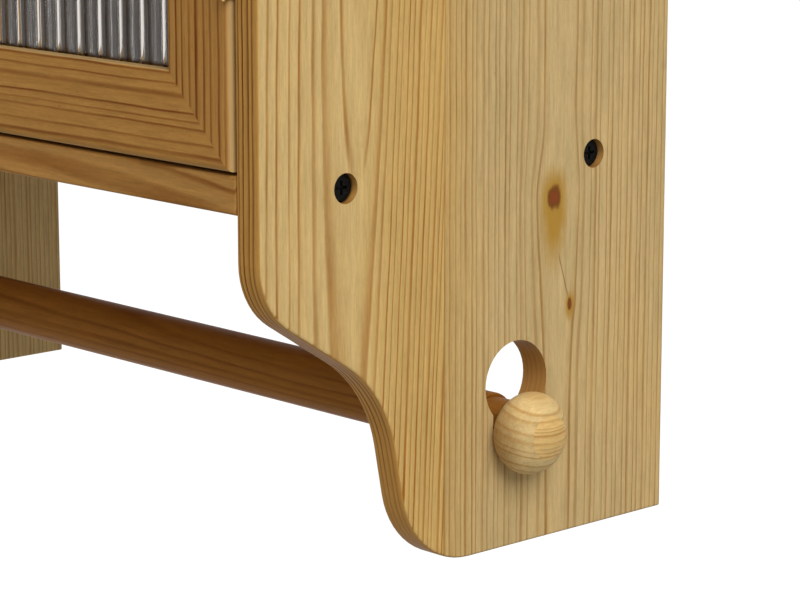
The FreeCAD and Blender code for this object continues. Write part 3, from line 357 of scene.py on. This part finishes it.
def glued_pine(name, staves, seam, edge, tones, gloss, knots, streak=None):
    """Upright side panel glued up from two staves, with the rings that show on its sawn edges.

    Tones are pairs of pale and dark wood for the front stave, the rear stave and the front edge, and then
    one colour for the edges further back, such as the walls of the keyhole.
    """
    material, shader, (deep, across, along) = new_material(name)
    *stave_tones, edge_tones, inner = tones
    (front_colour, front_relief), (rear_colour, rear_relief) = (
        stave_look(along, across, deep, stave, pale, dark, group)
        for stave, (pale, dark), group in zip(staves, stave_tones, knots)
    )
    beyond = across.math("GREATER_THAN", seam)
    joint = 1 - (across - seam).math("ABSOLUTE").between(0.05, 0.4)
    colour = beyond.mixed(front_colour, rear_colour)
    if streak:
        colour = with_streak(colour, across, along, *streak, edge_tones[1])
    colour = (joint * 0.3).mixed(colour, opaque(stave_tones[0][1]))
    warm = across.between(seam - 75, seam - 25) * (1 - across.between(seam, seam + 35))
    colour = (warm * 0.9).mixed(colour, opaque(SEAM_TONE), "MULTIPLY")
    edge_colour, edge_relief = stave_look(along, deep, across / 30, edge, *edge_tones)
    inside = across.between(seam - 60, seam)
    edge_colour = (inside * 0.75).mixed(edge_colour, opaque(inner))
    sawn = 1 - facing(0, across).between(0.5, 0.85)
    colour = sawn.mixed(colour, edge_colour)
    relief = front_relief + (rear_relief - front_relief) * beyond
    relief = relief + (edge_relief - relief) * sawn
    varnish(shader, end_grain(colour, 2), relief, gloss)
    return material


def bead_pine(name, low, high, stave, pale, dark, gloss):
    """Pine beads round a pane, with the grain along each bead."""
    material, shader, (across, deep, up) = new_material(name)
    middle = (low + high) / 2 * MILLIMETRES
    half = (high - low) / 2 * MILLIMETRES
    to_side = half.x - (across - middle.x).math("ABSOLUTE")
    to_end = half.z - (up - middle.z).math("ABSOLUTE")
    upright = to_side.math("LESS_THAN", to_end)
    along = across + (up - across) * upright
    inward = to_end + (to_side - to_end) * upright
    colour, relief = stave_look(along, inward, deep, stave, pale, dark)
    varnish(shader, colour, relief, gloss)
    return material


# Settings


def colour_setting(label, words, default):
    """Colour that a user may change."""
    return FloatVectorProperty(
        name=label, description=words, subtype="COLOR", size=3, min=0.0, max=1.0, default=default)


class CabinetWood(PropertyGroup):
    """Colours and gloss of the pine."""
    panel_pale: colour_setting("Front stave", "Early wood of the front stave", (0.635, 0.445, 0.185))
    panel_dark: colour_setting("Front stave rings", "Late wood of the front stave", (0.34, 0.135, 0.022))
    rear_pale: colour_setting("Rear stave", "Early wood of the rear stave", (0.58, 0.415, 0.190))
    rear_dark: colour_setting("Rear stave rings", "Late wood of the rear stave", (0.355, 0.190, 0.056))
    edge_pale: colour_setting("Panel edge", "Early wood of the panel edges", (0.53, 0.275, 0.068))
    edge_dark: colour_setting("Panel edge rings", "Late wood of the panel edges", (0.13, 0.034, 0.004))
    door_pale: colour_setting("Door", "Early wood of the door frames", (0.472, 0.236, 0.060))
    door_dark: colour_setting("Door rings", "Late wood of the door frames", (0.175, 0.044, 0.005))
    board_pale: colour_setting("Boards", "Early wood of the shelves and the top", (0.48, 0.245, 0.068))
    board_dark: colour_setting("Board rings", "Late wood of the shelves and the top", (0.27, 0.10, 0.018))
    back_pale: colour_setting("Back", "Early wood of the back panel", (0.47, 0.29, 0.125))
    back_dark: colour_setting("Back rings", "Late wood of the back panel", (0.32, 0.155, 0.048))
    # The rail's colours are partly its own darker tone and partly painted shade from the bottom shelf above
    # it.
    rail_pale_and_shade: colour_setting("Rail", "Early wood of the rail", (0.31, 0.125, 0.022))
    rail_dark_and_shade: colour_setting("Rail rings", "Late wood of the rail", (0.19, 0.062, 0.009))
    knob_pale: colour_setting("Knobs", "Early wood of the turned knobs", (0.69, 0.495, 0.225))
    knob_dark: colour_setting("Knob rings", "Late wood of the turned knobs", (0.55, 0.33, 0.115))
    plug_pale: colour_setting("Plugs", "Early wood of the plugs in the knobs", (0.68, 0.455, 0.180))
    plug_dark: colour_setting("Plug rings", "Late wood of the plugs in the knobs", (0.42, 0.19, 0.045))
    dowel_pale: colour_setting("Dowels", "Raw wood of dowels and keys", (0.58, 0.42, 0.24))
    dowel_dark: colour_setting("Dowel rings", "Rings of dowels and keys", (0.42, 0.26, 0.12))
    gloss: FloatProperty(
        name="Varnish", description="Roughness of the varnish", default=0.42, min=0.05, max=1.0,
        subtype="FACTOR")


class CabinetMetal(PropertyGroup):
    """Colours of the metal and plastic fittings."""
    black: colour_setting("Bolts", "Black oxide on the connector bolts", (0.004, 0.004, 0.0035))
    zinc: colour_setting("Zinc", "Plating of nuts, pins and catch", (0.55, 0.56, 0.56))
    brass: colour_setting("Brass", "Hinges and their screws", (0.66, 0.43, 0.15))
    plastic: colour_setting("Catch case", "Moulded plastic of the catch", (0.13, 0.062, 0.026))
    ferrite: colour_setting("Magnet", "Ferrite of the catch magnet", (0.035, 0.035, 0.038))


class CabinetGlass(PropertyGroup):
    """Look of the reeded pane."""
    tint: colour_setting("Tint", "Colour of the glass", (0.78, 0.74, 0.69))
    roughness: FloatProperty(
        name="Roughness", description="Roughness of the glass surface", default=0.02, min=0.0, max=0.5,
        subtype="FACTOR")


class CabinetStage(PropertyGroup):
    """Camera, light and floor."""
    camera_place: FloatVectorProperty(
        name="Camera", description="Where the camera stands", subtype="TRANSLATION", unit="LENGTH",
        default=(1.3634, -1.1930, -0.1730))
    camera_azimuth: FloatProperty(
        name="Azimuth", description="Camera to the right of the front", unit="ROTATION",
        default=math.radians(47.103))
    camera_drop: FloatProperty(
        name="Drop", description="Camera tilt below the horizon", unit="ROTATION",
        default=math.radians(11.215))
    lens: FloatProperty(
        name="Lens", description="Focal length in millimetres", default=127.65, min=20.0, max=300.0)
    key_power: FloatProperty(
        name="Key light", description="Power of the light at the right", default=195.0, min=0.0,
        unit="POWER")
    front_strip_power: FloatProperty(
        name="Front strip", description="Power of the tall light at the front", default=6.0, min=0.0,
        unit="POWER")
    left_strip_power: FloatProperty(
        name="Left strip", description="Power of the tall light at the left", default=5.0, min=0.0,
        unit="POWER")
    ambient: FloatProperty(
        name="Room light", description="Mean strength of the light all round", default=0.34, min=0.0,
        max=2.0)
    floor_colour: colour_setting("Floor", "Colour of the floor", (0.46, 0.46, 0.46))
    floor_drop: FloatProperty(
        name="Floor distance", description="Wall screws down to the floor", default=1.9, unit="LENGTH")


# Pieces


class CABINET_OT_side_panels(Operator):
    """Finish the two side panels as pine glued up from two staves"""
    bl_idname = "cabinet.side_panels"
    bl_label = "Side panels"

    def execute(self, context):
        wood = context.scene.cabinet_wood
        low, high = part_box("side_panel_right")
        front = low[1] * MILLIMETRES
        foot = low[2] * MILLIMETRES
        outer = high[0] * MILLIMETRES
        seam = front + 127
        tones = (
            (wood.panel_pale, wood.panel_dark),
            (wood.rear_pale, wood.rear_dark),
            (wood.edge_pale, wood.edge_dark),
            wood.board_pale,
        )
        shown = (
            Stave(pith_across=front + 66, pith_deep=outer - 22, apex=foot + 205, spacing=4.6, taper=-0.045,
                  sway=5.0, seed=3.0, lean=0.27, tilt=0.04),
            Stave(pith_across=front + 214, pith_deep=outer - 20, apex=foot + 150, spacing=3.9, taper=-0.010,
                  sway=4.0, seed=7.0),
        )
        branch = Knot(across=front + 210, along=foot + 191, width=5.0, height=7.5, tail=2.4, push=0.75)
        mark = Knot(across=front + 223, along=foot + 130, width=1.6, height=3.6, tail=1.2, push=0.5)
        streak = ((front + 213, foot + 162), (front + 222, foot + 133))
        edge = Stave(pith_across=outer - 80, pith_deep=0.0, apex=foot, spacing=4.4, taper=0.004, sway=3.0,
                     seed=5.0)
        knots = ((), (branch, mark))
        look = glued_pine("right panel pine", shown, seam, edge, tones, wood.gloss, knots, streak)
        dress(look, "side_panel_right")
        far = (
            Stave(pith_across=front + 90, pith_deep=24 - outer, apex=foot + 300, spacing=4.2, taper=-0.040,
                  sway=6.0, seed=12.0, lean=-0.2),
            Stave(pith_across=front + 240, pith_deep=20 - outer, apex=foot + 250, spacing=4.0, taper=-0.012,
                  sway=6.0, seed=17.0, lean=0.1),
        )
        other = Knot(across=front + 70, along=foot + 420, width=5.0, height=7.0, tail=1.6, push=0.75)
        edge = Stave(pith_across=80 - outer, pith_deep=0.0, apex=foot, spacing=4.6, taper=0.004, sway=3.0,
                     seed=8.0)
        look = glued_pine("left panel pine", far, seam, edge, tones, wood.gloss, ((other,), ()))
        dress(look, "side_panel_left")
        return {"FINISHED"}


class CABINET_OT_boards(Operator):
    """Finish the top, the shelves, the hanging rail and the back"""
    bl_idname = "cabinet.boards"
    bl_label = "Boards"

    def execute(self, context):
        wood = context.scene.cabinet_wood
        boards = ("bottom_shelf", "top_board", "inner_shelf", "hanging_rail")
        for seed, name in enumerate(boards, start=21):
            low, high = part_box(name)
            middle = (low[1] + high[1]) / 2 * MILLIMETRES
            below = low[2] * MILLIMETRES - 45
            beside = middle + 35 - 9 * (seed % 3)
            stave = Stave(pith_across=beside, pith_deep=below, apex=250.0, spacing=3.6, taper=0.09,
                          sway=10.0, seed=float(seed), lean=0.1)
            look = plain_pine(f"{name} pine", "XYZ", stave, wood.board_pale, wood.board_dark, wood.gloss)
            dress(look, name)
        low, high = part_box("back_panel")
        beside = high[0] * MILLIMETRES / 3
        behind = high[1] * MILLIMETRES + 50
        stave = Stave(pith_across=beside, pith_deep=behind, apex=-150.0, spacing=5.0, taper=0.03, sway=12.0,
                      seed=31.0, lean=0.1)
        look = plain_pine("back panel pine", "ZXY", stave, wood.back_pale, wood.back_dark, wood.gloss)
        dress(look, "back_panel")
        return {"FINISHED"}


class CABINET_OT_door_frames(Operator):
    """Finish the stiles, rails and glazing beads with grain along each of them"""
    bl_idname = "cabinet.door_frames"
    bl_label = "Door frames"

    def execute(self, context):
        wood = context.scene.cabinet_wood
        for hand_seed, (hand, hinge_sense) in enumerate(zip(HANDS, (-1, 1))):
            members = (
                ("bottom_rail", "XZY", 1),
                ("top_rail", "XZY", -1),
                ("hinge_stile", "ZXY", hinge_sense),
                ("closing_stile", "ZXY", -hinge_sense),
            )
            for seed, (member, order, sense) in enumerate(members, start=41 + 10 * hand_seed):
                name = f"{hand}_door_{member}"
                low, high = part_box(name)
                across = AXES.index(order[1])
                edge = (low[across] if sense > 0 else high[across]) * MILLIMETRES
                behind = high[1] * MILLIMETRES + 30
                stave = Stave(pith_across=edge - sense * 55, pith_deep=behind, apex=0.0, spacing=4.7,
                              taper=0.012, sway=6.0, seed=float(seed))
                # The rear stave's paler colour is painted onto the door edges as a highlight of the side
                # light.
                look = plain_pine(f"{name} pine", order, stave, wood.door_pale, wood.door_dark, wood.gloss,
                                  edge_highlight=wood.rear_pale)
                dress(look, name)
            name = f"{hand}_door_beads"
            low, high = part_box(name)
            stave = Stave(pith_across=-30.0, pith_deep=0.0, apex=0.0, spacing=4.0, taper=0.01, sway=3.0,
                          seed=47.0 + hand_seed)
            look = bead_pine(f"{name} pine", low, high, stave, wood.door_pale, wood.door_dark, wood.gloss)
            dress(look, name)
        return {"FINISHED"}


class CABINET_OT_rail_and_knobs(Operator):
    """Finish the rail and the turned knobs"""
    bl_idname = "cabinet.rail_and_knobs"
    bl_label = "Rail and knobs"

    def execute(self, context):
        wood = context.scene.cabinet_wood
        low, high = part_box("towel_rail")
        middle = (low + high) / 2 * MILLIMETRES
        stave = Stave(pith_across=middle.y + 12, pith_deep=middle.z - 30, apex=0.0, spacing=4.6, taper=0.03,
                      sway=7.0, seed=61.0)
        # The rail colours carry painted shade as well as the wood's own tone.
        look = plain_pine("rail pine", "XYZ", stave, wood.rail_pale_and_shade, wood.rail_dark_and_shade, wood.gloss)
        dress(look, "towel_rail")
        knobs = ("rail_knob_right", "rail_knob_left", "right_door_knob", "left_door_knob")
        for seed, name in enumerate(knobs, start=71):
            low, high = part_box(name)
            middle = (low + high) / 2 * MILLIMETRES
            stave = Stave(pith_across=middle.z - 90, pith_deep=middle.x - 25, apex=middle.y, spacing=5.0,
                          taper=0.10, sway=5.0, seed=float(seed))
            plug = None
            if name.startswith("rail"):
                grain = Stave(pith_across=middle.z - 45, pith_deep=middle.x, apex=middle.y, spacing=2.7,
                              taper=0.06, sway=2.0, seed=float(seed + 10))
                plug = Plug(middle.y, middle.z, PLUG_RADIUS, grain, wood.plug_pale, wood.plug_dark)
            look = plain_pine(f"{name} pine", "YZX", stave, wood.knob_pale, wood.knob_dark, wood.gloss,
                              plug=plug)
            dress(look, name)
        return {"FINISHED"}


class CABINET_OT_dowels(Operator):
    """Finish the raw dowels and the corner keys"""
    bl_idname = "cabinet.dowels"
    bl_label = "Dowels and keys"

    def execute(self, context):
        wood = context.scene.cabinet_wood
        raw_roughness = 0.7
        stave = Stave(pith_across=-40.0, pith_deep=-30.0, apex=0.0, spacing=1.8, taper=0.03, sway=4.0,
                      seed=81.0)
        look = plain_pine("raw dowel wood", "XYZ", stave, wood.dowel_pale, wood.dowel_dark, raw_roughness)
        dress(look, "board_dowels", "hanging_rail_dowels", "rail_knob_dowels", *both("door_corner_keys"))
        return {"FINISHED"}


def metal(name, colour, roughness, wear):
    """Plated metal with fine brushing and patches of wear."""
    material, shader, (across, deep, along) = new_material(name)
    brushed = across.vector(deep, along * 12).noise(0.9, 3.0, 0.6)
    patches = across.vector(deep, along).noise(0.35, 3.0)
    worn = patches.between(0.02, 0.30)
    dull = opaque([channel * WORN_METAL for channel in colour])
    connect(shader, base_color=(worn * wear).mixed(opaque(colour), dull),
            roughness=brushed * 0.16 + worn * 0.12 + roughness, normal=bumped(brushed, 0.12, 0.0001))
    shader.inputs["Metallic"].default_value = 1.0
    return material


class CABINET_OT_fastenings(Operator):
    """Finish the bolts, barrel nuts, shelf pins and screws"""
    bl_idname = "cabinet.fastenings"
    bl_label = "Bolts, nuts and pins"

    def execute(self, context):
        tones = context.scene.cabinet_metal
        material, shader, (across, deep, along) = new_material("black oxide")
        bloom = across.vector(deep, along).noise(0.6, 4.0, 0.6)
        grey = opaque([channel * 3.0 + 0.01 for channel in tones.black])
        connect(shader, base_color=bloom.between(0.0, 0.35).mixed(opaque(tones.black), grey),
                roughness=bloom * 0.25 + 0.46, normal=bumped(bloom, 0.15, 0.0001))
        shader.inputs["Specular IOR Level"].default_value = OXIDE_SPECULAR
        dress(material, "connector_bolts_right", "connector_bolts_left")
        zinc = metal("zinc plate", tones.zinc, roughness=0.32, wear=0.35)
        dress(zinc, "shelf_barrel_nuts", "top_barrel_nuts", "shelf_pins", *both("door_knob_screw"))
        return {"FINISHED"}


class CABINET_OT_hinges(Operator):
    """Finish the brass butt hinges and their screws"""
    bl_idname = "cabinet.hinges"
    bl_label = "Hinges"

    def execute(self, context):
        brass = metal("satin brass", context.scene.cabinet_metal.brass, roughness=0.30, wear=0.45)
        fittings = ("jamb_leaf", "door_leaf", "hinge_pin")
        pieces = [f"{fitting}_{level}" for fitting in fittings for level in ("lower", "upper")]
        dress(brass, *both(*pieces, "jamb_leaf_screws", "door_leaf_screws"))
        return {"FINISHED"}


class CABINET_OT_catches(Operator):
    """Finish the magnetic catches and their strike plates"""
    bl_idname = "cabinet.catches"
    bl_label = "Magnetic catches"

    def execute(self, context):
        tones = context.scene.cabinet_metal
        material, shader, (across, deep, along) = new_material("moulded plastic")
        grain = across.vector(deep, along).noise(2.4, 3.0, 0.6)
        lighter = opaque([min(1.0, channel * 1.35) for channel in tones.plastic])
        connect(shader, base_color=grain.between(-0.3, 0.4).mixed(opaque(tones.plastic), lighter),
                roughness=grain * 0.2 + 0.5, normal=bumped(grain, 0.3, 0.0001))
        dress(material, "catch_cases")
        material, shader, (across, deep, along) = new_material("ferrite")
        grit = across.vector(deep, along).noise(3.5, 4.0, 0.7)
        lighter = opaque([channel * 2.2 for channel in tones.ferrite])
        connect(shader, base_color=grit.between(-0.2, 0.4).mixed(opaque(tones.ferrite), lighter),
                roughness=grit * 0.2 + 0.6, normal=bumped(grit, 0.4, 0.0002))
        dress(material, "catch_magnets")
        zinc = metal("catch zinc", tones.zinc, roughness=0.36, wear=0.30)
        dress(zinc, "catch_pole_plates", "catch_screws", *both("door_strike", "door_strike_screw"))
        return {"FINISHED"}


class CABINET_OT_reeded_glass(Operator):
    """Finish the reeded panes, with faint flutes on each reed"""
    bl_idname = "cabinet.reeded_glass"
    bl_label = "Reeded glass"

    def execute(self, context):
        glass = context.scene.cabinet_glass
        for name in both("door_glass"):
            low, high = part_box(name)
            pitch = (high[0] - low[0]) * MILLIMETRES / REEDS
            material, shader, (across, deep, along) = new_material(name.replace("_", " "))
            turns = (across - low[0] * MILLIMETRES) / pitch * FLUTES_PER_REED
            flute = (turns * math.tau).math("COSINE")
            ripple = across.vector(deep, along / 600).noise(0.22, 2.0, 0.6)
            relief = ripple * RIPPLE_RISE + flute * FLUTE_RISE
            dust = across.vector(deep, along).noise(0.9, 4.0, 0.65)
            connect(shader, roughness=dust.between(0.1, 0.5) * 0.04 + glass.roughness,
                    normal=bumped(relief, 0.8, 0.0007))
            shader.inputs["Base Color"].default_value = opaque(glass.tint)
            shader.inputs["Transmission Weight"].default_value = 1.0
            shader.inputs["IOR"].default_value = GLASS_IOR
            shader.inputs["Specular Tint"].default_value = opaque([GLASS_SHEEN] * 3)
            dress(material, name)
        return {"FINISHED"}


# Stage


def area_light(name, place, target, power, width, height):
    """Soft light of a width and height aimed at a point."""
    lamp = bpy.data.lights.new(name, "AREA")
    lamp.energy = power
    lamp.shape = "RECTANGLE"
    lamp.size = width
    lamp.size_y = height
    holder = bpy.data.objects.new(name, lamp)
    holder.location = place
    holder.rotation_euler = (Vector(target) - Vector(place)).to_track_quat("-Z", "Y").to_euler()
    bpy.context.scene.collection.objects.link(holder)


def ray_kind(shade, name):
    """One of the facts known about the ray that meets a surface."""
    return Shade(shade.tree, shade.tree.nodes.new("ShaderNodeLightPath").outputs[name])


def seen_directly(shade):
    """1 for rays straight from the camera, through glass or off one polished face, otherwise 0."""
    diffuse = ray_kind(shade, "Diffuse Depth")
    mirrored = ray_kind(shade, "Glossy Depth")
    through = ray_kind(shade, "Is Transmission Ray") * (diffuse + mirrored).math("LESS_THAN", 0.5)
    off = ray_kind(shade, "Is Glossy Ray") * (diffuse * 2 + mirrored).math("LESS_THAN", 1.5)
    return ray_kind(shade, "Is Camera Ray").math("MAXIMUM", through).math("MAXIMUM", off)


class CABINET_OT_stage(Operator):
    """Set up the floor, the light and the camera"""
    bl_idname = "cabinet.stage"
    bl_label = "Stage"

    def execute(self, context):
        scene = context.scene
        stage = scene.cabinet_stage
        scene.view_settings.view_transform = "Standard"
        self.light_room(scene, stage)
        self.lay_floor(scene, stage)
        middle = sum(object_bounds(), Vector()) / 2
        lights = (
            ("key light", KEY_PLACE, stage.key_power, KEY_SIDE, KEY_SIDE),
            ("front strip", FRONT_STRIP_PLACE, stage.front_strip_power, STRIP_WIDTH, STRIP_HEIGHT),
            ("left strip", LEFT_STRIP_PLACE, stage.left_strip_power, STRIP_WIDTH, STRIP_HEIGHT),
        )
        for name, offset, power, width, height in lights:
            area_light(name, middle + Vector(offset), middle, power, width, height)
        lens = bpy.data.cameras.new("camera")
        lens.sensor_width = SENSOR_WIDTH
        lens.lens = stage.lens
        camera = bpy.data.objects.new("camera", lens)
        camera.location = stage.camera_place
        camera.rotation_euler = Euler((math.pi / 2 - stage.camera_drop, 0.0, stage.camera_azimuth))
        scene.collection.objects.link(camera)
        scene.camera = camera
        return {"FINISHED"}

    def light_room(self, scene, stage):
        """Room light, brighter at the front right; the room itself looks white."""
        world = bpy.data.worlds.new("room")
        world.use_nodes = True
        scene.world = world
        tree = world.node_tree
        background = tree.nodes["Background"]
        background.inputs["Color"].default_value = (1.0, 1.0, 1.0, 1.0)
        towards = Shade(tree, tree.nodes.new("ShaderNodeTexCoord").outputs["Generated"])
        side = towards.node("ShaderNodeVectorMath", {"operation": "DOT_PRODUCT"},
                            {0: towards, 1: BRIGHT_SIDE}, "Value")
        room = (side * 0.8 + 1.0) * stage.ambient
        strength = room + (1.0 - room) * seen_directly(side)
        tree.links.new(strength.output, background.inputs["Strength"])

    def lay_floor(self, scene, stage):
        """Pale floor that keeps a faint shadow and turns as white as the room far out."""
        mesh = bpy.data.meshes.new("floor")
        signs = ((-1, -1), (1, -1), (1, 1), (-1, 1))
        corners = [(FLOOR_HALF * right, FLOOR_HALF * back, 0) for right, back in signs]
        mesh.from_pydata(corners, [], [tuple(range(len(corners)))])
        floor = bpy.data.objects.new("floor", mesh)
        floor.location = (0, 0, -stage.floor_drop)
        scene.collection.objects.link(floor)
        material, shader, (across, deep, along) = new_material("pale floor")
        speckle = across.vector(deep, along).noise(0.02, 3.0)
        darker = opaque([channel * 0.985 for channel in stage.floor_colour])
        connect(shader, base_color=speckle.between(-0.3, 0.3).mixed(darker, opaque(stage.floor_colour)))
        shader.inputs["Roughness"].default_value = 0.8
        tree = material.node_tree
        glow = tree.nodes.new("ShaderNodeEmission")
        blend = tree.nodes.new("ShaderNodeMixShader")
        radius = (across * across + deep * deep) ** 0.5
        far = radius.between(FLOOR_NEAR, FLOOR_FAR)
        glow_colour = far.mixed(opaque([NEAR_GLOW] * 3), opaque([FAR_GLOW] * 3))
        tree.links.new(glow_colour.output, glow.inputs["Color"])
        lit = seen_directly(speckle) * (far * (FAR_GLOW_SHARE - NEAR_GLOW_SHARE) + NEAR_GLOW_SHARE)
        tree.links.new(lit.output, blend.inputs[0])
        tree.links.new(shader.outputs[0], blend.inputs[1])
        tree.links.new(glow.outputs[0], blend.inputs[2])
        tree.links.new(blend.outputs[0], tree.nodes["Material Output"].inputs["Surface"])
        floor.data.materials.append(material)
        floor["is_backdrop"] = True


class CABINET_PT_sidebar(Panel):
    """Buttons and settings of the cabinet"""
    bl_idname = "CABINET_PT_sidebar"
    bl_label = "Pine Wall Cabinet"
    bl_space_type = "VIEW_3D"
    bl_region_type = "UI"
    bl_category = "Cabinet"

    def draw(self, context):
        for operator in OPERATORS:
            self.layout.operator(operator.bl_idname)
        for group in SETTINGS:
            settings = getattr(context.scene, group)
            for name in settings.bl_rna.properties.keys():
                if name not in ("rna_type", "name"):
                    self.layout.prop(settings, name)


OPERATORS = (
    CABINET_OT_side_panels,
    CABINET_OT_boards,
    CABINET_OT_door_frames,
    CABINET_OT_reeded_glass,
    CABINET_OT_rail_and_knobs,
    CABINET_OT_dowels,
    CABINET_OT_fastenings,
    CABINET_OT_hinges,
    CABINET_OT_catches,
    CABINET_OT_stage,
)
SETTINGS = {
    "cabinet_wood": CabinetWood,
    "cabinet_metal": CabinetMetal,
    "cabinet_glass": CabinetGlass,
    "cabinet_stage": CabinetStage,
}
CLASSES = (*SETTINGS.values(), *OPERATORS, CABINET_PT_sidebar)


def register():
    for item in CLASSES:
        bpy.utils.register_class(item)
    for name, group in SETTINGS.items():
        setattr(bpy.types.Scene, name, PointerProperty(type=group))


def unregister():
    for name in SETTINGS:
        delattr(bpy.types.Scene, name)
    for item in reversed(CLASSES):
        bpy.utils.unregister_class(item)


def main():
    """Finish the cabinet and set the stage."""
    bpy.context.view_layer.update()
    register()
    for operator in OPERATORS:
        group, name = operator.bl_idname.split(".")
        getattr(getattr(bpy.ops, group), name)()


if __name__ == "__main__":
    main()
